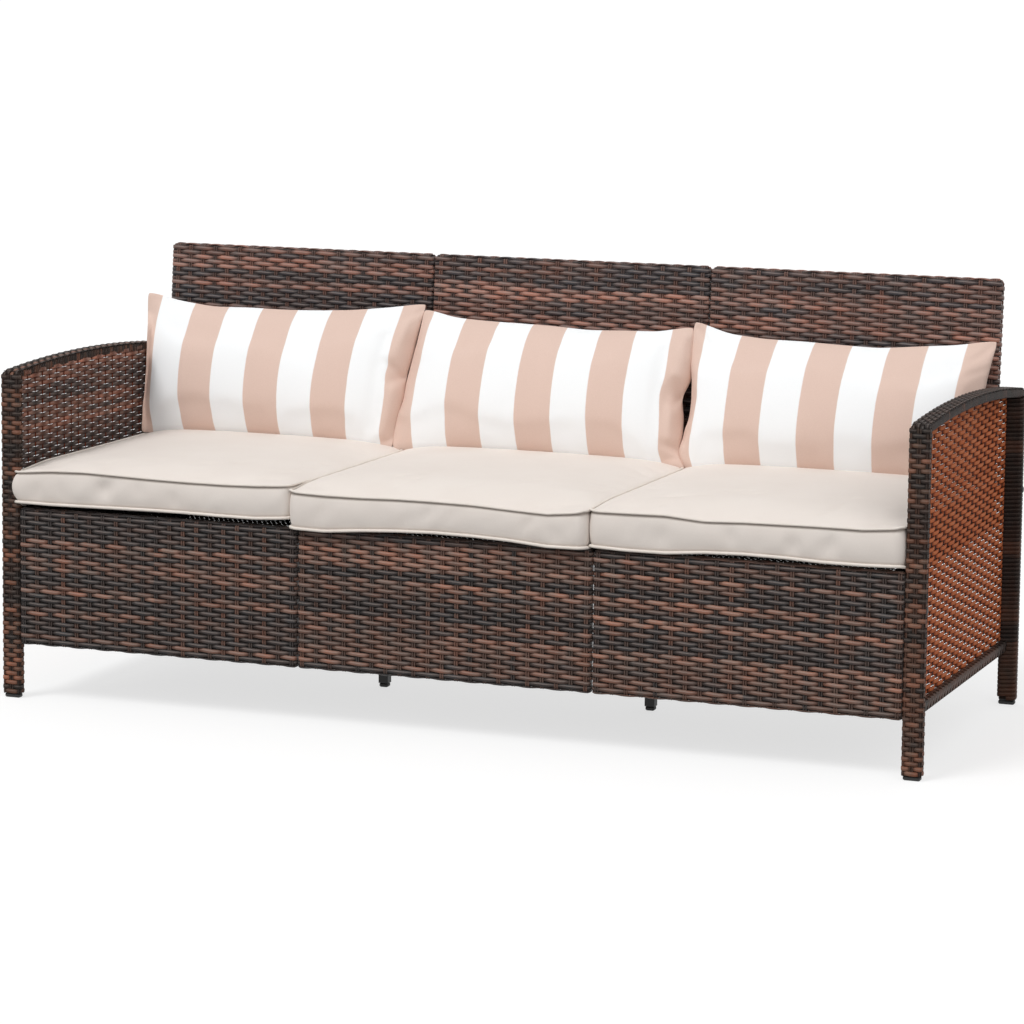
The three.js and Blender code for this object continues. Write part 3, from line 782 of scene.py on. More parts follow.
def skirt(label, seed):
    """A skirt woven as closed loops round its slab, over both its edges."""
    node = f"{label}_skirt"
    low, high = box_of(node)
    middle = (low + high) / 2
    width, depth = (high - low)[:2]
    plan = box_line(width - 2 * WEAVE_DEPTH - 2 * SKIRT_GAP, depth - 2 * WEAVE_DEPTH, SKIRT_CORNER)
    bottom, top = low[2] + WEAVE_DEPTH, high[2] - WEAVE_DEPTH
    painted_shade_depth = SKIRT_OPENING - (depth / 2 - WEAVE_DEPTH)
    profile = eased([(painted_shade_depth, bottom), (0, bottom), (0, top), (painted_shade_depth, top)], SHEET_EDGE)

    def surface(u, t):
        flat, way = plan.place(u), plan.outward(u)
        edge, lean = profile.place(t), profile.outward(t)
        inset = -edge[..., 0]
        joined = np.where(way[..., 0] < 0, *JOINED_ENDS[label])
        reach = np.interp(t / weave.row - 0.5, np.arange(rows), reaches) * joined
        x = middle[0] + flat[..., 0] - way[..., 0] * (np.minimum(inset, SKIRT_END_INSET) - reach)
        y = middle[1] + flat[..., 1] - way[..., 1] * inset
        out = np.stack([way[..., 0] * lean[..., 0], way[..., 1] * lean[..., 0], lean[..., 1]], -1)
        return np.stack([x, y, edge[..., 1]], -1), unit(out)

    stakes = 2 * round(plan.length / STAKE_PITCH / 2)
    rows = round(profile.length / ROW_PITCH)
    weave = SKIRT_WEAVE.spaced(profile.length / rows, plan.length / stakes)
    basket, tones = Basket(), Tones(seed)
    reaches = np.where(np.arange(rows) % 4 == 2, 0.0, SKIRT_REACH)
    # The skirt's core is painted shade: a dark slab where the real skirt has only its frame and the shade
    # behind its weave
    hidden = np.array([CORE_END + SKIRT_GAP, CORE_DEPTH, CORE_DEPTH])
    basket.core(low + hidden, high - hidden)
    u = np.arange(stakes * weave.fine) * weave.stake / weave.fine
    facing = np.abs(plan.outward(u)[:, 1])
    for row in range(rows):
        t = (row + 0.5) * weave.row
        at_edge = min(t, profile.length - t) < SKIRT_FLAT_EDGE
        # Rows over the slab's top and bottom edges are painted darker, as shade where they turn away from
        # the light
        tone = tones.row(plan.length, len(u)) * (0.5 if at_edge else 1.0)
        calm = (0.4 if at_edge else 1.0) * (0.3 + 0.7 * facing)
        weave.weft(basket, surface, u, t, 0.0, row, tone, True, calm)
    for k in range(stakes):
        tone = tones.rng.uniform(0.1, 0.75)
        weave.warp(basket, surface, k * weave.stake, rows, 0.5 * weave.row, k, tone)
    return basket.make(f"{label}_skirt_weave", [FINISHES["weave"]], "frame", [node], "rattan_weave")


def back(label, seed):
    """A back panel: wefts wrap round both uprights, and stakes bend over the top rail."""
    nodes = [f"{label}_back_{piece}" for piece in
             ("foot_rail", "left_upright", "right_upright", "top_rail", "weave")]
    foot_low, _ = box_of(nodes[0])
    low, high = box_of(nodes[3])
    width = high[0] - low[0]
    cosine, sine = math.cos(BACK_RECLINE), math.sin(BACK_RECLINE)
    foot = np.array([(low[0] + high[0]) / 2, foot_low[1], foot_low[2] + BACK_THICKNESS * sine])
    height = (high[2] - foot[2]) / cosine
    d, rim, inner = WEAVE_DEPTH, BACK_THICKNESS, width / 2 - BACK_THICKNESS
    side, rear = width / 2 - d, BACK_THICKNESS - d
    plan = eased([(-inner, BACK_WEFT_END), (-inner, rear), (-side, rear), (-side, d), (side, d),
                  (side, rear), (inner, rear), (inner, BACK_WEFT_END)], SHEET_EDGE)
    profile = eased([(-d, 0), (-d, height - d), (-rear, height - d), (-rear, height - rim)], SHEET_EDGE)

    def stand(points):
        x, y, z = points[..., 0], points[..., 1], points[..., 2]
        return np.stack([x, y * cosine + z * sine, z * cosine - y * sine], -1)

    def narrowed(z):
        over = np.clip(z - (height - BACK_CORNER), 0, BACK_CORNER)
        return width / 2 - BACK_CORNER + np.sqrt(BACK_CORNER**2 - over**2) - d

    def round_plan(u, t):
        flat, way = plan.place(u), plan.outward(u)
        limit = narrowed(t)
        x = np.clip(flat[..., 0], -limit, limit)
        out = np.stack([way[..., 0], way[..., 1], np.zeros_like(x)], -1)
        return foot + stand(np.stack([x, flat[..., 1], t + 0 * x], -1)), stand(out)

    def over_top(u, t):
        edge, lean = profile.place(t), profile.outward(t)
        limit = narrowed(edge[..., 1]) - TOP_ROW_INSET
        x = np.clip(u, -limit, limit)
        out = np.stack([np.zeros_like(x), -lean[..., 0], lean[..., 1]], -1)
        return foot + stand(np.stack([x, -edge[..., 0], edge[..., 1]], -1)), stand(out)

    weave = BACK_WEAVE
    basket, tones = Basket(), Tones(seed, shares=(0.16, 0.2, 0.24, 0.26, 0.14))
    skin, outer = CORE_DEPTH, width / 2
    bars = [((skin - outer, skin, skin), (rim - skin - outer, rim - skin, height - skin)),
            ((outer - rim + skin, skin, skin), (outer - skin, rim - skin, height - skin)),
            ((skin - inner, skin, height - rim + skin), (inner - skin, rim - skin, height - skin)),
            ((skin - inner, skin, skin), (inner - skin, rim - skin, rim - skin))]
    for bar in bars:
        basket.core(*bar, turn=lambda corners: foot + stand(corners))
    centre = plan.length / 2
    u = even(0, plan.length, weave.stake / weave.fine)
    rows = round(profile.length / weave.row)
    side_rows = int((height - SIDE_ROW_INSET) / weave.row)
    across = even(-width / 2, width / 2, weave.stake / weave.fine)
    for row in range(rows):
        t = (row + 0.5) * weave.row
        if row < side_rows:
            weave.weft(basket, round_plan, u, t, centre, row, tones.row(plan.length, len(u)))
        else:
            weave.weft(basket, over_top, across, t, 0.0, row, tones.row(width, len(across)))
        # A dark thread in the chink below each row, painted shade
        ends = np.array([THREAD_INSET - outer, outer - THREAD_INSET])
        thread, _ = over_top(ends, np.full(2, row * weave.row))
        basket.strand(thread, stand(UP), THREAD_WIDE, THREAD_THICK, np.zeros(2), sides=4)
    reach = int((width / 2 - TOP_STAKE_INSET) / weave.stake)
    last = int(plan.length / 2 / weave.stake)
    for k in range(-reach, reach + 1):
        tone = tones.rng.uniform(0.3, 0.7)
        weave.warp(basket, over_top, k * weave.stake, rows, 0.5 * weave.row, k, tone)
    for k in [k for k in range(-last, last + 1) if abs(k) > reach]:
        tone = tones.rng.uniform(0.3, 0.7)
        weave.warp(basket, round_plan, centre + k * weave.stake, side_rows, 0.5 * weave.row, k, tone)
    return basket.make(f"{label}_back_weave_wrap", [FINISHES["back"]], "frame", nodes, "rattan_weave")


def post(label, place, seed):
    """A front post woven round its own stakes, or a rear post in plain turns of strand."""
    node = f"{label}_arm_{place}_post"
    low, high = box_of(node)
    middle = (low + high) / 2
    line = box_line(high[0] - low[0] + 2 * POST_PROUD, high[1] - low[1] + 2 * POST_PROUD, POST_CORNER)
    shares = (0.16, 0.2, 0.32, 0.24, 0.08) if place == "front" else (0.45, 0.28, 0.18, 0.09, 0.0)
    basket, tones = Basket(), Tones(seed, shares=shares, spread=0.12, run=3)

    def surface(u, t):
        flat, way = line.place(u), line.outward(u)
        out = np.stack([way[..., 0], way[..., 1], np.zeros_like(t)], -1)
        return np.stack([middle[0] + flat[..., 0], middle[1] + flat[..., 1], t], -1), out

    basket.core(low + TUBE_DEPTH, high - TUBE_DEPTH)
    if place == "front":
        tall = high[2] + POST_TUCK - low[2]
        rows = round(tall / POST_ROW_PITCH)
        weave = POST_WEAVE.spaced(tall / rows, line.length / POST_STAKES)
        count = POST_STAKES * weave.fine
        u = np.arange(count) * line.length / count
        for row in range(rows):
            tone = tones.row(line.length, count)
            weave.weft(basket, surface, u, low[2] + (row + 0.5) * weave.row, 0.0, row, tone, True)
        for k in range(POST_STAKES):
            tone = tones.rng.uniform(0.1, 0.5)
            weave.warp(basket, surface, k * weave.stake, rows, low[2] + 0.5 * weave.row, k, tone)
    else:
        turns = round((high[2] - low[2]) / WRAP_PITCH) + 1
        wind(basket, surface, line.length, low[2], high[2] + WRAP_PITCH, turns, POST_WRAP_WIDE, tones)
    return basket.make(f"{label}_{place}_post_wrap", [FINISHES["wrap"]], "frame", [node], "wrapped_tube")


def wind(basket, surface, girth, start, end, turns, wide, tones, around=28, thick=WRAP_THICK):
    """One strand wound round a tube from start to end, with around points to each turn."""
    u = np.linspace(0, turns * girth, turns * around + 1)
    t = np.linspace(start + wide, end - wide, turns * around + 1)
    here, _ = surface(u, t)
    tone = tones.wound(turns * girth, len(u))
    # The wound strand is painted half in shade
    basket.strand(here, width_way(surface, u, t, 0, PROBE), wide, thick, tone, turns=turns, raised=0.5)


def wrapped_rail(name, nodes, along, seed, pitch=WRAP_PITCH, thick=WRAP_THICK):
    """Straight rails along X or Y, each in plain turns of strand."""
    basket = Basket()
    tones = Tones(seed, shares=(0.36, 0.3, 0.24, 0.1, 0.0))
    for node in nodes:
        low, high = box_of(node)
        middle = (low + high) / 2
        cross = 1 - along
        wide, tall = high[cross] - low[cross] - 2 * RAIL_INSET, high[2] - low[2] - 2 * RAIL_INSET
        line = box_line(wide, tall, RAIL_CORNER)

        def surface(u, t):
            flat, way = line.place(u), line.outward(u)
            place, out = np.zeros((*t.shape, 3)), np.zeros((*t.shape, 3))
            place[..., along] = t
            place[..., cross], place[..., 2] = middle[cross] + flat[..., 0], middle[2] + flat[..., 1]
            out[..., cross], out[..., 2] = way[..., 0], way[..., 1]
            return place, out

        turns = round((high[along] - low[along]) / pitch)
        basket.core(low + TUBE_DEPTH, high - TUBE_DEPTH)
        wind(basket, surface, line.length, low[along], high[along], turns, pitch * 0.54, tones, 20, thick)
    return basket.make(name, [FINISHES["wrap"]], "frame", nodes, "wrapped_tube")


# Arms

# The inner side of an arm's mesh is painted darker low down and towards the rear, as painted shadow of the
# cushion and pillow: between which heights, and which distances back, its tone changes from one share to
# the other
PAINTED_SHADOW_LOW = ((0.46, 0.53), (0.2, 1.0))
PAINTED_SHADOW_BACK = ((0.1, 0.27), (1.0, 0.3))


class Arch:
    """The armrest's top line: the upper hull of its node's outline."""

    def __init__(self, label):
        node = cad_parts[f"{label}_armrest"]
        co = np.array([v.co for v in node.data.vertices])
        self.low, self.high = co.min(0), co.max(0)
        self.middle = (self.low[0] + self.high[0]) / 2
        hull = []
        for y, z in sorted({(round(y, 6), round(z, 6)) for _, y, z in co}):
            while len(hull) > 1 and turns_left(hull[-2], hull[-1], (y, z)):
                hull.pop()
            hull.append((y, z))
        self.y, self.z = np.array(hull).T

    def top(self, y):
        return np.interp(y, self.y, self.z)


def turns_left(a, b, c):
    return (b[0] - a[0]) * (c[1] - a[1]) - (b[1] - a[1]) * (c[0] - a[0]) >= 0


def armrest(label, seed):
    """Wefts run along the top over cross stakes; turns of strand close the sides and underside."""
    arch = Arch(label)
    front, rear = arch.low[1], arch.high[1]
    half = (arch.high[0] - arch.low[0]) / 2
    thick, depth, bend = 20 * MM, 1.5 * MM, 7 * MM
    near, far = arch.top(front + bend) - depth, arch.top(rear - bend) - depth
    spine = [(front + depth, near - bend - 2 * MM)]
    for turn in np.linspace(0, math.pi / 2, 5):
        spine.append((front + depth + bend * (1 - math.cos(turn)), near - bend * (1 - math.sin(turn))))
    spine += [(y, arch.top(y) - depth) for y in even(front + 2 * bend, rear - 2 * bend, 8 * MM)]
    for turn in np.linspace(math.pi / 2, 0, 5):
        spine.append((rear - depth - bend * (1 - math.cos(turn)), far - bend * (1 - math.sin(turn))))
    spine.append((rear - depth, far - thick + 2 * depth))
    line = Line(spine)
    side = half - depth
    section = eased([(side - bend, 2 * depth - thick), (side, 2 * depth - thick), (side, 0), (-side, 0),
                     (-side, 2 * depth - thick), (bend - side, 2 * depth - thick)], 5 * MM)

    def over(u, t):
        """u along the arch, t across its top."""
        flat, way = line.place(u), line.way(u)
        place = np.stack([arch.middle + t, flat[..., 0], flat[..., 1]], -1)
        return place, np.stack([np.zeros_like(t), -way[..., 1], way[..., 0]], -1)

    def about(u, t):
        """u round the section, t along the arch."""
        cut, lean = section.place(u), section.outward(u)
        flat, way = line.place(t), line.way(t)
        up = np.stack([np.zeros_like(t), -way[..., 1], way[..., 0]], -1)
        place = np.stack([arch.middle + cut[..., 0], flat[..., 0], flat[..., 1]], -1) + up * cut[..., 1:2]
        return place, up * lean[..., 1:2] + np.outer(lean[..., 0], [1.0, 0.0, 0.0])

    basket = Basket()
    # The right armrest is drawn from darker tones, painted shade on its outer side, which faces away from
    # the light
    shares = (0.34, 0.3, 0.24, 0.12, 0.0) if label == "left" else (0.75, 0.2, 0.05, 0.0, 0.0)
    tones = Tones(seed, shares=shares, spread=0.12)
    weave, wefts = ARMREST_WEAVE, 4
    u = even(0, line.length, weave.stake / weave.fine)
    for row in range(wefts):
        across = (row - (wefts - 1) / 2) * weave.row
        weave.weft(basket, over, u, across, 0.0, row, tones.row(line.length, len(u)))
    for k in range(1, int(line.length / weave.stake)):
        weave.warp(basket, over, k * weave.stake, wefts, -(wefts - 1) / 2 * weave.row, k, 0.05)
    u = even(0, section.length, 4 * MM)
    on_top = np.abs(section.place(u)[:, 0]) < side - bend / 2
    on_top &= section.place(u)[:, 1] > -depth
    sunk = np.where(on_top, -ARMREST_TURN_SUNK, 0.0)[:, None]
    for start in even(9 * MM, line.length - 6 * MM, ARMREST_TURN_PITCH):
        t = np.full_like(u, start)
        here, out = about(u, t)
        # The turns are painted partly in shade, darker than the top's weave
        basket.strand(here + out * sunk, width_way(about, u, t, 0, PROBE), *ARMREST_TURN,
                      tones.row(0.1, len(u)), raised=0.4)
    return basket.make(f"{label}_armrest_wrap", [FINISHES["wrap"]], "frame", [f"{label}_armrest"],
                       "wrapped_tube")


def arm_panel(label, side, seed):
    """Open weave under the armrest: saddle brown outside, mixed dark inside, with painted shadow low down
    and towards the rear.
    """
    node = f"{label}_arm_panel"
    low, high = box_of(node)
    middle = (low[0] + high[0]) / 2
    arch = Arch(label)
    under, tuck = 7 * MM, 2.5 * MM
    weave = LEFT_MESH_WEAVE if label == "left" else MESH_WEAVE

    def surface(u, t):
        place = np.stack([np.full_like(u, middle), u, t + 0 * u], -1)
        return place, np.broadcast_to([float(side), 0.0, 0.0], place.shape)

    front, rear = low[1] - tuck, high[1] + tuck
    bottom = low[2] - tuck
    ys = np.linspace(front, rear, 400)
    basket = Basket()
    tones = Tones(seed, shares=(0.08, 0.14, 0.5, 0.24, 0.04), spread=0.2, run=3)
    rows = int((arch.z.max() - under - bottom) / weave.row)
    for row in range(rows):
        z = bottom + (row + 0.5) * weave.row
        open_ys = ys[arch.top(ys) - under > z]
        if len(open_ys) < 12:
            continue
        u = even(open_ys[0], open_ys[-1], weave.stake / weave.fine)
        # Inside, painted shadow darkens the tone low down and towards the rear
        inner = tones.row(rear - front, len(u)) * np.interp(z, *PAINTED_SHADOW_LOW) * np.interp(u, *PAINTED_SHADOW_BACK)
        outer = 0.72 + tones.rng.uniform(-0.12, 0.12) + drift(tones.rng, 0.7, 0.2, len(u)) * 0.15
        weave.weft(basket, surface, u, z, front, row, inner)
        shade_outside(basket, len(u), weave.sides, side, outer)
    for k in range(int((rear - front) / weave.stake) + 1):
        y = front + k * weave.stake
        count = int((arch.top(y) - under - bottom) / weave.row)
        weave.warp(basket, surface, y, count, bottom + 0.5 * weave.row, k, tones.rng.uniform(0.1, 0.3))
        # The stakes' outer halves take the darkest outer tone, painted shade where they lie back between
        # the wefts
        shade_outside(basket, 2 * count + 1, 4, side, np.zeros(2 * count + 1))
    finishes = [FINISHES["inner_arm"], FINISHES["outer_arm"]]
    return basket.make(f"{label}_arm_mesh", finishes, "frame", [node], "arm_mesh")


def shade_outside(basket, rings, sides, side, outer):
    """Gives the half of the last strand that faces out the outer finish and tone."""
    angle = 2 * np.pi * np.arange(sides) / sides
    outside = np.sin(angle) * side > 0.1
    tone = basket.tones[-1].reshape(rings, sides).copy()
    tone[:, outside] = outer[:, None]
    basket.tones[-1] = tone.ravel()
    facing_out = np.sin(angle + np.pi / sides) * side > 0
    basket.slots[-1][: (rings - 1) * sides] = np.tile(facing_out, rings - 1)


def deck(label, seed):
    """The net of a seat deck."""
    node = f"{label}_deck_net"
    low, high = box_of(node)
    level = (low[2] + high[2]) / 2

    def surface(u, t):
        place = np.stack([u, t + 0 * u, np.full_like(u, level)], -1)
        return place, np.broadcast_to(UP, place.shape)

    weave = NET_WEAVE
    basket, tones = Basket(), Tones(seed, shares=(0.8, 0.2, 0.0, 0.0, 0.0), spread=0.1)
    rows = int((high[1] - low[1]) / weave.row)
    u = even(low[0], high[0], weave.stake / weave.fine)
    for row in range(rows):
        t = low[1] + (row + 0.5) * weave.row
        weave.weft(basket, surface, u, t, low[0], row, tones.row(high[0] - low[0], len(u)))
    for k in range(int((high[0] - low[0]) / weave.stake) + 1):
        weave.warp(basket, surface, low[0] + k * weave.stake, rows, low[1] + 0.5 * weave.row, k, 0.12)
    return basket.make(f"{label}_deck_weave", [FINISHES["net"]], "frame", [node], "deck_mesh")


# Soft goods


def grid_faces(index):
    return np.stack([index[:-1, :-1], index[1:, :-1], index[1:, 1:], index[:-1, 1:]], -1).reshape(-1, 4)


def rim_of(index):
    """The outer points of a grid, once round."""
    return np.concatenate([index[:-1, 0], index[-1, :-1], index[:0:-1, -1], index[0, :0:-1]])


def cushion_plan(width, depth):
    """A grid whose outline has round corners and sides drawn in between them."""
    nx, ny = round(width / CUSHION_GRID), round(depth / CUSHION_GRID)
    gx, gy = np.meshgrid(np.linspace(-1, 1, nx + 1), np.linspace(-1, 1, ny + 1), indexing="ij")
    r = CUSHION_CORNER
    a = np.clip((np.abs(gx) * width / 2 - (width / 2 - r)) / r, 0, 1)
    b = np.clip((np.abs(gy) * depth / 2 - (depth / 2 - r)) / r, 0, 1)
    corner = (a > 0) & (b > 0)
    x = np.where(corner, np.sign(gx) * (width / 2 - r + r * a * np.sqrt(1 - b * b / 2)), gx * width / 2)
    y = np.where(corner, np.sign(gy) * (depth / 2 - r + r * b * np.sqrt(1 - a * a / 2)), gy * depth / 2)
    x = x - np.sign(gx) * CUSHION_DRAW * np.abs(gx) ** 6 * (1 - gy * gy)
    y = y - np.sign(gy) * CUSHION_DRAW * np.abs(gy) ** 6 * (1 - gx * gx)
    return gx, gy, x, y


def settle(obj, pinned, frames, pressure, cap, shrink):
    """Blows a closed cover up as cloth. No point moves further than cap, and the moves are evened out."""
    start = coordinates(obj)
    cloth = obj.modifiers.new("Cloth", "CLOTH")
    cloth.point_cache.frame_start, cloth.point_cache.frame_end = 1, frames
    settings = cloth.settings
    settings.quality, settings.mass = 5, CLOTH_MASS
    settings.tension_stiffness = settings.compression_stiffness = CLOTH_STIFFNESS
    settings.shear_stiffness, settings.bending_stiffness = CLOTH_STIFFNESS / 2, CLOTH_BENDING
    settings.use_pressure, settings.uniform_pressure_force = True, pressure
    settings.shrink_min = shrink
    settings.effector_weights.gravity = 0
    group = obj.vertex_groups.new(name="pinned")
    group.add([int(i) for i in pinned], 1.0, "REPLACE")
    settings.vertex_group_mass = "pinned"
    for step in range(1, frames + 1):
        bpy.context.scene.frame_set(step)
    graph = bpy.context.evaluated_depsgraph_get()
    settled = coordinates(obj.evaluated_get(graph))
    obj.modifiers.remove(cloth)
    bpy.context.scene.frame_set(1)
    move = settled - start
    reach = np.linalg.norm(move, axis=1, keepdims=True)
    move *= cap * np.tanh(reach / cap) / np.maximum(reach, 1e-9)
    set_coordinates(obj, start + evened(obj, move, pinned, 4))


def evened(obj, values, kept, rounds):
    """Each point's value drawn towards its neighbours' mean, apart from those kept."""
    edges = np.empty(len(obj.data.edges) * 2, np.int32)
    obj.data.edges.foreach_get("vertices", edges)
    one, two = edges.reshape(-1, 2).T
    count = np.bincount(edges, minlength=len(values))[:, None]
    free = np.ones((len(values), 1))
    free[kept] = 0
    for _ in range(rounds):
        total = np.zeros_like(values)
        np.add.at(total, one, values[two])
        np.add.at(total, two, values[one])
        values = values + free * 0.6 * (total / count - values)
    return values


def coordinates(obj):
    co = np.empty(len(obj.data.vertices) * 3, np.float32)
    obj.data.vertices.foreach_get("co", co)
    return co.reshape(-1, 3).astype(float)


def set_coordinates(obj, co):
    obj.data.vertices.foreach_set("co", co.astype(np.float32).ravel())
    obj.data.update()


def add_fabric(obj, places):
    attribute = obj.data.attributes.new("fabric", "FLOAT_VECTOR", "POINT")
    attribute.data.foreach_set("vector", places.astype(np.float32).ravel())


def smoother(obj):
    modifier = obj.modifiers.new("Smooth", "SUBSURF")
    modifier.levels = modifier.render_levels = 1


def piping(name, loop, body, radius):
    """A cord in a cover of the cushion's cloth, sewn round a seam."""
    basket = Basket()
    line = Line(loop, closed=True)
    count = round(line.length / PIPING_STEP)
    path = line.place(np.arange(count) * line.length / count)
    basket.strand(path, UP, radius, radius, np.zeros(count), True, 8, 4)
    return basket.make(name, [FINISHES["piping"]], body, (), "cushion_cover")


# Where the cushions' sides lie along the row, in millimetres: they have slipped a little to the left
CUSHION_SIDES = {"left": (-874, -305), "middle": (-304, 283), "right": (284, 872)}

# The places of the tables of nine values, from left to right or from the bottom up
NINE_PLACES = np.linspace(-1, 1, 9)

# How far the front's top and bottom seams lie above those of a flat cushion, and how far back its
# underside curves down to the deck, in millimetres, at nine even places from left to right
SEAM_RISE = {
    "left": ((6, 12, 14, 12, 10, 9, 9, 11, 15), (10, 9, 10, 11, 12, 12, 11, 11, 16)),
    "middle": ((6, 4, 4, 6, 6, 5, 1, -2, 5), (0, -2, 4, 8, 10, 9, 6, 0, 1)),
    "right": ((7, 8, 9, 3, 6, 7, 8, 8, 14), (5, 2, 2, 8, 10, 9, 6, 6, 8)),
}
UNDERSIDE_REACH = {
    "left": (30, 34, 36, 38, 42, 70, 120, 160, 160),
    "middle": (40, 45, 90, 150, 160, 150, 80, 40, 35),
    "right": (40, 45, 70, 130, 150, 110, 60, 40, 35),
}

# How far back a cushion's front reaches, and how much the rest of its top lies above a flat one's
FRONT_REACH = 130 * MM
REST_RISE = 13 * MM


def lift_front(co, label, width, depth, band):
    """Raises the front of a cushion as its seams lie in the photo, and its body above them."""
    places = NINE_PLACES * width / 2
    top, bottom = (np.interp(co[:, 0], places, np.array(row) * MM) for row in SEAM_RISE[label])
    reach = np.interp(co[:, 0], places, np.array(UNDERSIDE_REACH[label]) * MM)
    back_from = np.maximum(co[:, 1] + depth / 2, 0)
    share = np.clip(co[:, 2] / band, 0, 1)
    front = eased_step(1 - back_from / FRONT_REACH)
    under = eased_step(1 - back_from / reach)
    co[:, 2] += share * (front * top + (1 - front) * REST_RISE) + (1 - share) * under * bottom


def eased_step(x):
    x = np.clip(x, 0, 1)
    return x * x * (3 - 2 * x)


def pleats(rng, x, level, band):
    """Short slanting creases in the band: how far each point moves out."""
    total = np.zeros_like(x)
    for _ in range(PLEATS):
        at, slant, wide = rng.uniform(-0.27, 0.27), rng.uniform(-0.5, 0.8), rng.uniform(0.008, 0.018)
        line = x - at - slant * (level - band / 2)
        centre = rng.uniform(0.25, 0.75) * band
        bump = np.exp(-(line / wide) ** 2 - ((level - centre) / (20 * MM)) ** 2)
        total += rng.uniform(-5.0, 2.6) * MM * bump
    return total * np.sin(np.pi * np.clip(level / band, 0, 1))


def creases(rng, x, y, width, depth):
    """Short shallow creases in the top, most of them near its seams: how far each point sinks."""
    total = np.zeros_like(x)
    for _ in range(CREASES):
        at = rng.uniform(-0.46, 0.46) * width
        back = rng.uniform(-0.46, -0.2) * depth
        turn, reach = rng.uniform(0.4, 1.3), rng.uniform(0.02, 0.045)
        along = (x - at) * math.cos(turn) + (y - back) * math.sin(turn)
        aside = (y - back) * math.cos(turn) - (x - at) * math.sin(turn)
        dip = np.exp(-(aside / (9 * MM)) ** 2 - (along / reach) ** 2)
        total += rng.uniform(2.0, 4.5) * MM * dip
    return total


def peak_corners(top, gx, gy):
    """Draws the top's corners out and up into small peaks."""
    corner = (np.abs(gx * gy) ** 30).reshape(-1, 1)
    way = np.stack([np.sign(gx), np.sign(gy), 0 * gx + 2.5], -1).reshape(-1, 3)
    top += corner * way * 1.2 * MM


def lap_post(co, width, depth, band):
    """Bulges the front's left corner past the inside of the arm, so that it laps over the post."""
    corner = eased_step((-co[:, 1] - depth / 2 + 16 * MM) / (12 * MM))
    corner *= eased_step((-co[:, 0] - width / 2 + 34 * MM) / (32 * MM))
    full = 0.6 + 0.4 * np.sin(np.pi * np.clip(co[:, 2] / band, 0, 1))
    co[:, 0] -= corner * full * POST_LAP[0]
    co[:, 1] -= corner * full * POST_LAP[1]


# Courses of a cushion's band from the top seam down: how far down as a share of the band, how far
# out in millimetres, and how dark the line under the seam is painted, as painted shade below the piping
BAND_COURSES = (
    (0.04, -2.0, 0.75), (0.10, 0.2, 0.0), (0.24, 1.6, 0.0), (0.40, 2.3, 0.0), (0.58, 2.4, 0.0),
    (0.76, 1.8, 0.0), (0.90, 0.3, 0.0), (0.96, -1.6, 0.45))


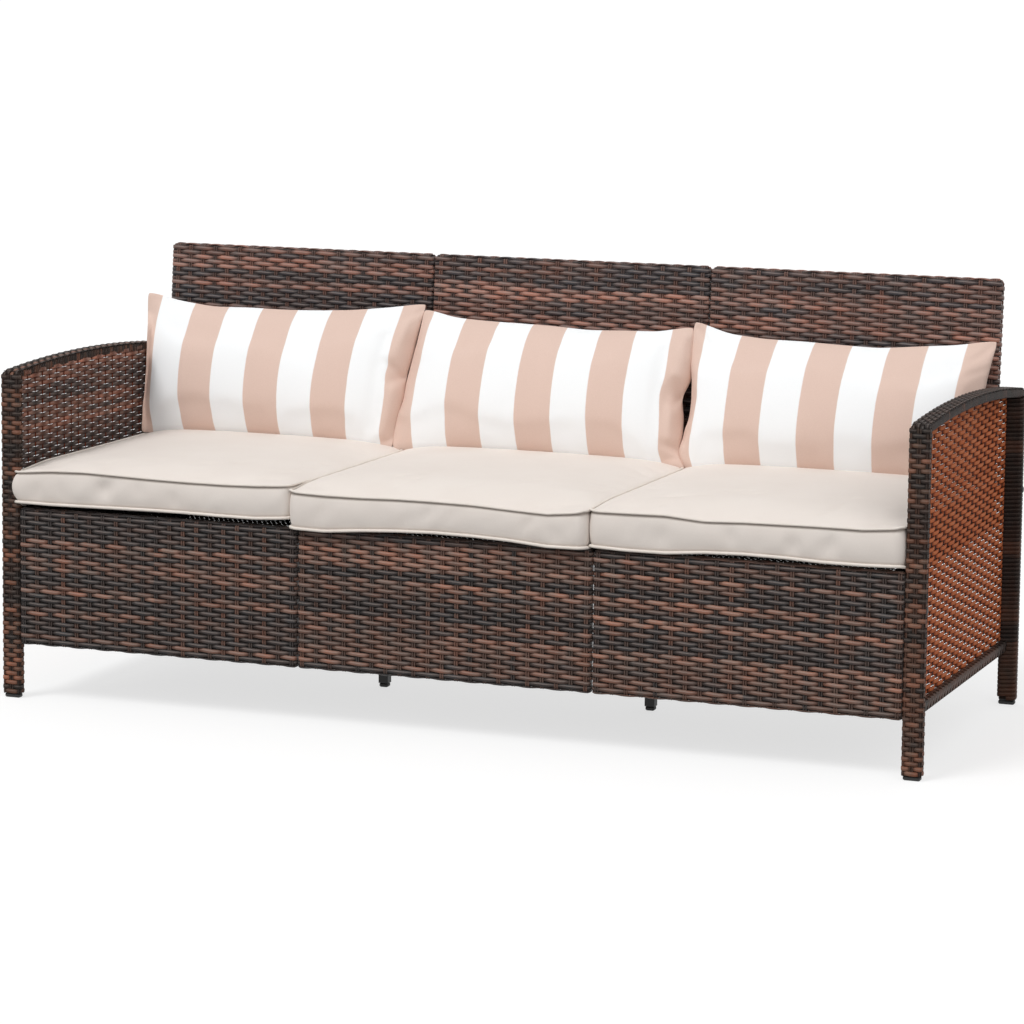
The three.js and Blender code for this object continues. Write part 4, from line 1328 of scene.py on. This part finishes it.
def seat_cushion(label, seed):
    """A box cushion: a top and an underside on one plan, courses of a band between, and piping."""
    node = f"{label}_seat_cushion"
    low, high = box_of(node)
    sides = np.array(CUSHION_SIDES[label]) * MM
    middle = (low + high) / 2
    width, depth = sides[1] - sides[0], high[1] - low[1] - CUSHION_SHORT
    rng = np.random.default_rng(seed)
    gx, gy, x, y = cushion_plan(width, depth)
    swell = (1 - np.abs(gx) ** 3) * (1 - np.abs(gy) ** 3)
    index = np.arange(gx.size).reshape(gx.shape)
    band = CUSHION_BAND
    top = np.stack([x, y, band + CUSHION_CROWN * swell**0.62], -1).reshape(-1, 3)
    bottom = np.stack([x, y, 0 * x], -1).reshape(-1, 3)
    rim = rim_of(index)
    ring = top[rim]
    along = unit((np.roll(ring, -1, 0) - np.roll(ring, 1, 0)) * [1, 1, 0])
    out = np.stack([along[:, 1], -along[:, 0], 0 * along[:, 0]], -1)
    out *= np.sign((out * ring).sum(1).mean())
    rings = [ring * [1, 1, 0] + out * proud * MM + [0, 0, band * (1 - share)]
             for share, proud, _ in BAND_COURSES]
    points = np.vstack([top, bottom, *rings])
    low_index = index + index.size
    faces = [grid_faces(index), grid_faces(low_index)[:, ::-1]]
    band_index = [2 * index.size + i * len(rim) + np.arange(len(rim)) for i in range(len(rings))]
    courses = [rim, *band_index, rim + index.size]
    for upper, lower in zip(courses, courses[1:]):
        faces.append(np.stack([upper, lower, np.roll(lower, -1), np.roll(upper, -1)], -1))
    obj = mesh_object(f"{label}_cushion_cover", points, np.vstack(faces), [FINISHES["cushion"]], node)
    run = np.arange(len(rim)) * CUSHION_GRID
    flat_band = [np.stack([run, 0 * run + share * band, 0 * run + 1], -1) for share, _, _ in BAND_COURSES]
    add_fabric(obj, np.vstack([bottom, bottom, *flat_band]))
    # The courses next to the seams carry the painted shade under the piping
    seams = [np.full(len(rim), dark) for _, _, dark in BAND_COURSES]
    add_values(obj.data, "seam", np.concatenate([np.zeros(2 * index.size), *seams]))
    held = np.concatenate([low_index.ravel(), rim, band_index[0], band_index[-1]])
    settle(obj, held, *CUSHION_AIR)
    co = coordinates(obj)
    co[:, 0] = np.clip(co[:, 0], -width / 2 - SIDE_SWELL, width / 2 + SIDE_SWELL)
    face = co[: gx.size]
    face[:, 2] -= creases(rng, face[:, 0], face[:, 1], width, depth) * swell.ravel() ** 0.5
    at_front = co[:, 1] < -depth / 2 + 12 * MM
    co[:, 1] -= pleats(rng, co[:, 0], co[:, 2], band) * at_front
    if label == "left":
        lap_post(co, width, depth, band)
    else:
        peak_corners(face, gx, gy)
    lift_front(co, label, width, depth, band)
    co += [sides.mean(), middle[1], low[2] + PIPING_RADIUS]
    set_coordinates(obj, co)
    smoother(obj)
    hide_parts(node)
    for tag, seam, rise, radius in (
        ("top", rim, 0.6 * MM, TOP_PIPING_RADIUS), ("bottom", rim + index.size, -1.0 * MM, PIPING_RADIUS)):
        loop = co[seam] + out * PIPING_PROUD + [0, 0, rise]
        piping(f"{label}_cushion_{tag}_piping", loop, node, radius)
    return obj


# The corners in the order of the tables: lower left, lower right, upper left, upper right
CORNER_SIGNS = ((-1, -1), (1, -1), (-1, 1), (1, 1))

# How far each pillow's corners lie from a plain oblong, across and up, in millimetres
PILLOW_CORNERS = {
    "left": ((-8, 6), (-34, 4), (-32, 14), (6, 18)),
    "middle": ((-34, 4), (-2, 0), (-2, 14), (-16, 0)),
    "right": ((-24, 14), (-10, 4), (-18, 16), (4, 10)),
}

# How far the left side, the right side and the top lie from straight lines between those corners,
# in millimetres, at nine even places from the bottom up or from left to right
PILLOW_EDGES = {
    "left": ((0, 3, 4, 5, 6, 6, 4, 2, 0), (2, -4, 0, 2, -7, -4, -5, -3, 1),
             (0, -14, -21, -18, -19, -18, -15, -9, 0)),
    "middle": ((0, -6, -4, 0, -2, 0, 3, 3, 2), (4, -15, -10, -10, -15, 2, 3, 2, 3),
               (-6, -19, -20, -19, -19, -22, -18, -16, -1)),
    "right": ((14, 1, 7, 15, 15, 12, 6, 3, 2), (0, -6, -10, -12, -12, -11, -8, -3, 4),
              (6, -15, -19, -18, -20, -22, -15, -10, 2)),
}

# Creases (below 0) and fat ridges in each pillow's face: from and to, as shares of half its width
# and height, then half width and depth in millimetres
PILLOW_FOLDS = {
    "left": (
        (0.99, 0.0, 0.84, 0.18, 6, -15), (0.99, 0.03, 0.9, -0.09, 6, -9), (0.95, 0.75, 0.9, 0.28, 16, 9),
        (0.93, -0.2, 0.93, -0.75, 14, 9), (0.8, 0.5, 0.81, -0.7, 11, -5), (0.98, -0.84, 0.86, -0.93, 6, -8),
        (0.99, 0.9, 0.88, 0.78, 7, -4), (0.1, 1.0, 0.14, 0.7, 9, -4)),
    "middle": (
        (0.99, 0.0, 0.92, 0.2, 6, -16), (0.99, 0.0, 0.95, -0.14, 5, -10), (0.96, 0.8, 0.93, 0.3, 15, 9),
        (0.94, -0.2, 0.93, -0.55, 13, 9), (0.82, 0.6, 0.8, -0.6, 11, -5), (0.98, -0.7, 0.88, -0.66, 7, -13),
        (0.95, -0.84, 0.8, -0.95, 6, -4), (-0.95, -0.6, -0.98, -0.9, 8, -4)),
    "right": (
        (-0.98, -0.52, -0.9, -0.42, 7, -10), (-0.96, -0.7, -0.95, -0.85, 9, 7),
        (-0.96, 0.92, -0.86, 0.74, 7, -7), (-0.9, 0.3, -0.91, -0.4, 12, 3),
        (1.0, 0.65, 0.86, 0.5, 8, -4), (0.96, 0.9, 0.88, 0.75, 7, -4)),
}

# How far each pillow leans back, in degrees, and how far it stands above the foot of its node
PILLOW_LEAN = {"left": 16, "middle": 16, "right": 15}
PILLOW_RISE = {"left": 12 * MM, "middle": 8 * MM, "right": 0 * MM}

# How far each pillow's stripes lie to the right of even ones at its corners, in millimetres
STRIPE_SHIFT = {"left": (-3, 25, 3, 3), "middle": (12, 6, -8, 8), "right": (-4, -2, -5, -4)}

# The left pillow's end meets the arm's inner face, below the armrest's top. Cloth that would pass
# the face moves along this way for each metre past it, which keeps its outline as the camera sees it
ARM_FACE = -874 * MM
ARMREST_CLEAR = 690 * MM
CURL_FADE = 40 * MM
CURL_BEND = 5 * MM
CURL_WAY = np.array([1.0, -2.01, 0.26])


def spaced_grid(count):
    """Places from -1 to 1, closer together at both ends."""
    t = np.linspace(-1, 1, count + 1)
    return t * (1.22 - 0.22 * t * t)


def pillow(label, seed):
    """A knife-edged pillow: two panels sewn at the rim, full in the middle, with blunt ears."""
    node = f"{label}_pillow"
    low, high = box_of(node)
    middle = (low + high) / 2
    rng = np.random.default_rng(seed)
    wide, tall = high[0] - low[0] + PILLOW_OVERWIDTH, PILLOW_TALL
    gx, gy = np.meshgrid(*(spaced_grid(spans) for spans in PILLOW_GRID), indexing="ij")
    index = np.arange(gx.size).reshape(gx.shape)
    left, right, top = (np.array(row) * MM for row in PILLOW_EDGES[label])
    ear = np.abs(gx * gy) ** 20 * 4.5 * MM
    sides = np.where(gx > 0, curve(gy, right), curve(gy, left))
    x = gx * wide / 2 + sides * np.abs(gx) ** 5 - ear * np.sign(gx)
    above = curve(gx, top) * np.clip(gy, 0, 1) ** 4
    below = 10 * MM * np.clip(-gy, 0, 1) ** 4 * (1 - np.abs(gx) ** 2.5)
    z = gy * tall / 2 + above + below - ear * np.sign(gy)
    weights = [(1 + sx * gx) / 2 * (1 + sy * gy) / 2 for sx, sy in CORNER_SIGNS]
    for (cx, cz), weight in zip(PILLOW_CORNERS[label], weights):
        x, z = x + cx * MM * weight, z + cz * MM * weight * weight
    full = ((1 - gx**4) ** 0.62) * ((1 - gy**2) ** 0.72) * (1 - 0.18 * gy)
    bulge = full * PILLOW_THICK / 2
    ruck = folds(label, gx * wide / 2, gy * tall / 2, wide, tall) + slack(rng, gx, gy)
    front = np.stack([x, -bulge - ruck * full**0.25, z], -1).reshape(-1, 3)
    rear = np.stack([x, bulge, z], -1).reshape(-1, 3)
    rim = rim_of(index)
    inner = np.ones(index.shape, bool)
    inner[[0, -1], :] = inner[:, [0, -1]] = False
    rear_index = index.copy()
    rear_index[inner] = index.size + np.arange(inner.sum())
    points = np.vstack([front, rear[inner.ravel()]])
    faces = np.vstack([grid_faces(index), grid_faces(rear_index)[:, ::-1]])
    obj = mesh_object(f"{label}_pillow_cover", points, faces, [FINISHES["pillow"]], node)
    shift = sum(amount * MM * weight for amount, weight in zip(STRIPE_SHIFT[label], weights))
    share = (gx * wide / 2 - shift) / wide + 0.5
    fabric = np.stack([gx * wide / 2, gy * tall / 2, share], -1).reshape(-1, 3)
    add_fabric(obj, np.vstack([fabric, fabric[inner.ravel()]]))
    settle(obj, rim, *PILLOW_AIR)
    x, y, z = coordinates(obj).T
    lean = math.radians(PILLOW_LEAN[label])
    cosine, sine = math.cos(lean), math.sin(lean)
    turned = np.stack([x, y * cosine + z * sine, z * cosine - y * sine], -1)
    turned += middle - [0, PILLOW_FORWARD, 0]
    turned[:, 2] += low[2] + PILLOW_RISE[label] - turned[:, 2].min()
    foot, _ = box_of(f"{label}_back_foot_rail")
    plane = foot[1] + (turned[:, 2] - foot[2]) * math.tan(BACK_RECLINE) - PILLOW_CLEARANCE
    turned[:, 1] = np.minimum(turned[:, 1], plane)
    if label == "left":
        curl_at_arm(turned)
    set_coordinates(obj, turned)
    smoother(obj)
    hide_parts(node)
    return obj


def curl_at_arm(points):
    """Turns the pillow's end forward along the arm's inner face, up to the armrest's top."""
    past = ARM_FACE - points[:, 0]
    past = (past + np.hypot(past, CURL_BEND)) / 2
    past *= np.clip((ARMREST_CLEAR - points[:, 2]) / CURL_FADE, 0, 1)
    points += past[:, None] * CURL_WAY


def curve(at, values):
    """A smooth line through nine values, read at any place."""
    fine = np.linspace(-1, 1, 161)
    line = np.interp(fine, NINE_PLACES, values)
    window = np.hanning(19)
    line = np.convolve(np.pad(line, 8, "edge"), window[1:-1] / window.sum(), "valid")
    return np.interp(at, fine, line)


def folds(label, x, z, wide, tall):
    """Creases and ridges of a pillow's face: how far each point stands out."""
    total = np.zeros_like(x)
    for x0, z0, x1, z1, half, depth in PILLOW_FOLDS[label]:
        start = np.array([x0 * wide, z0 * tall]) / 2
        way = np.array([x1 * wide, z1 * tall]) / 2 - start
        along = np.clip(((x - start[0]) * way[0] + (z - start[1]) * way[1]) / (way @ way), 0, 1)
        away = np.hypot(x - start[0] - along * way[0], z - start[1] - along * way[1])
        fade = 1 - 0.6 * along if depth < 0 else 1
        total += depth * MM * fade * np.exp(-(away / (half * MM)) ** 2)
    return total


def slack(rng, gx, gy):
    """Shallow folds over a pillow's face."""
    total = np.zeros_like(gx)
    for _ in range(SLACK_FOLDS):
        at, lean, wide = rng.uniform(-0.9, 0.7), rng.uniform(-0.25, 0.25), rng.uniform(0.03, 0.07)
        centre, reach = rng.uniform(-0.9, 0.9), rng.uniform(0.15, 0.4)
        line = gx - at - lean * gy
        ruck = np.exp(-(line / wide) ** 2 - ((gy - centre) / reach) ** 2)
        total += rng.uniform(-2.0, 2.0) * MM * ruck
    return total


# Hardware that keeps its CAD shape

# The finish of each kind, and how its nodes' names end
HARDWARE = {"cap": ("foot_cap",), "steel": ("centre_leg", "back_stay", "_bolt")}


def dress_hardware():
    for name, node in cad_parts.items():
        for key, endings in HARDWARE.items():
            if name.endswith(endings):
                node.data.materials.clear()
                node.data.materials.append(FINISHES[key])


# Stage

FLOOR_HALF = 600.0

# Suns: power, how wide they look, and their tilt and turn, in degrees
SUNS = (("Key", 1.35, 24, 38, -32), ("Fill", 0.5, 50, 58, 42))


def set_stage():
    """A white floor and sky, lit by two soft suns."""
    scene = bpy.context.scene
    scene.view_settings.view_transform = "Standard"
    ground = cad_bounds[0].z
    corners = [(x * FLOOR_HALF, y * FLOOR_HALF, ground) for x, y in ((-1, -1), (1, -1), (1, 1), (-1, 1))]
    mesh = bpy.data.meshes.new("Floor")
    mesh.from_pydata(corners, [], [(0, 1, 2, 3)])
    floor = bpy.data.objects.new("Floor", mesh)
    scene.collection.objects.link(floor)

    def seen(recipe):
        """1 for rays from the camera and for those that gloss or glass send on."""
        total = 0
        for output in ("Is Camera Ray", "Is Glossy Ray", "Is Transmission Ray"):
            total = recipe.node("LightPath", output=output) + total
        return total.math("MINIMUM", 1.0)

    def floor_paint(recipe):
        mask = seen(recipe)
        return {
            "Base Color": recipe.mix(mask, colour(150, 150, 150), (0.36, 0.36, 0.36, 1)),
            "Emission Color": recipe.mix(mask, (0, 0, 0, 1), (0.68, 0.68, 0.68, 1)),
            "Emission Strength": 1.0,
            "Roughness": 0.9,
            "Specular IOR Level": 0.0,
        }

    mesh.materials.append(finish("Floor_paint", floor_paint))
    world = bpy.data.worlds.new("Studio")
    world.use_nodes = True
    scene.world = world
    sky = Recipe(world.node_tree)
    mask = seen(sky)
    light = sky.mix(mask, (1.0, 0.992, 0.985, 1.0), (1.0, 1.0, 1.0, 1.0))
    strength = mask * 0.42 + 0.58
    background = sky.node("Background", None, {"Color": light, "Strength": strength})
    sky.node("OutputWorld", None, {"Surface": background})
    for name, power, spread, tilt, turn in SUNS:
        lamp = bpy.data.lights.new(name, "SUN")
        lamp.energy, lamp.angle = power, math.radians(spread)
        obj = bpy.data.objects.new(name, lamp)
        obj.rotation_euler = (math.radians(tilt), 0, math.radians(turn))
        scene.collection.objects.link(obj)


def set_camera():
    """A pinhole camera fitted to the corners of the real sofa, in a square picture."""
    picture = 1024
    focal, centre_x, centre_y = 3719.9, 539.57, 422.38
    place = Vector((2.51735, -6.59859, 1.48066))
    yaw, pitch, roll = 0.3573, -0.1318, 0.0118
    ahead = Vector((-math.sin(yaw) * math.cos(pitch), math.cos(yaw) * math.cos(pitch), math.sin(pitch)))
    level = ahead.cross(Vector((0, 0, 1))).normalized()
    upright = level.cross(ahead)
    right = math.cos(roll) * level + math.sin(roll) * upright
    up = math.cos(roll) * upright - math.sin(roll) * level
    data = bpy.data.cameras.new("Camera")
    data.sensor_width = 36.0
    data.lens = focal * data.sensor_width / picture
    data.shift_x = (picture / 2 - centre_x) / picture
    data.shift_y = (centre_y - picture / 2) / picture
    camera = bpy.data.objects.new("Camera", data)
    turn = Matrix((right, up, -ahead)).transposed().to_4x4()
    camera.matrix_world = Matrix.Translation(place) @ turn
    bpy.context.scene.collection.objects.link(camera)
    bpy.context.scene.camera = camera


# Making

set_camera()
for number, label in enumerate(MODULES):
    seat_cushion(label, 40 + number)
    pillow(label, 50 + number)
for number, label in enumerate(MODULES):
    skirt(label, 11 + number)
    back(label, 21 + number)
    deck(label, 31 + number)
    wrapped_rail(f"{label}_deck_side_wrap", [f"{label}_deck_left_rail", f"{label}_deck_right_rail"], 1,
                 61 + number)
    wrapped_rail(f"{label}_deck_rear_wrap", [f"{label}_deck_rear_rail"], 0, 71 + number)
for number, (label, side) in enumerate(ARMS):
    post(label, "front", 81 + number)
    post(label, "rear", 83 + number)
    armrest(label, 85 + number)
    wrapped_rail(f"{label}_side_rail_wrap", [f"{label}_arm_side_rail"], 1, 87 + number,
                 SIDE_RAIL_WRAP_PITCH, SIDE_RAIL_WRAP_THICK)
    arm_panel(label, side, 89 + number)
dress_hardware()
set_stage()
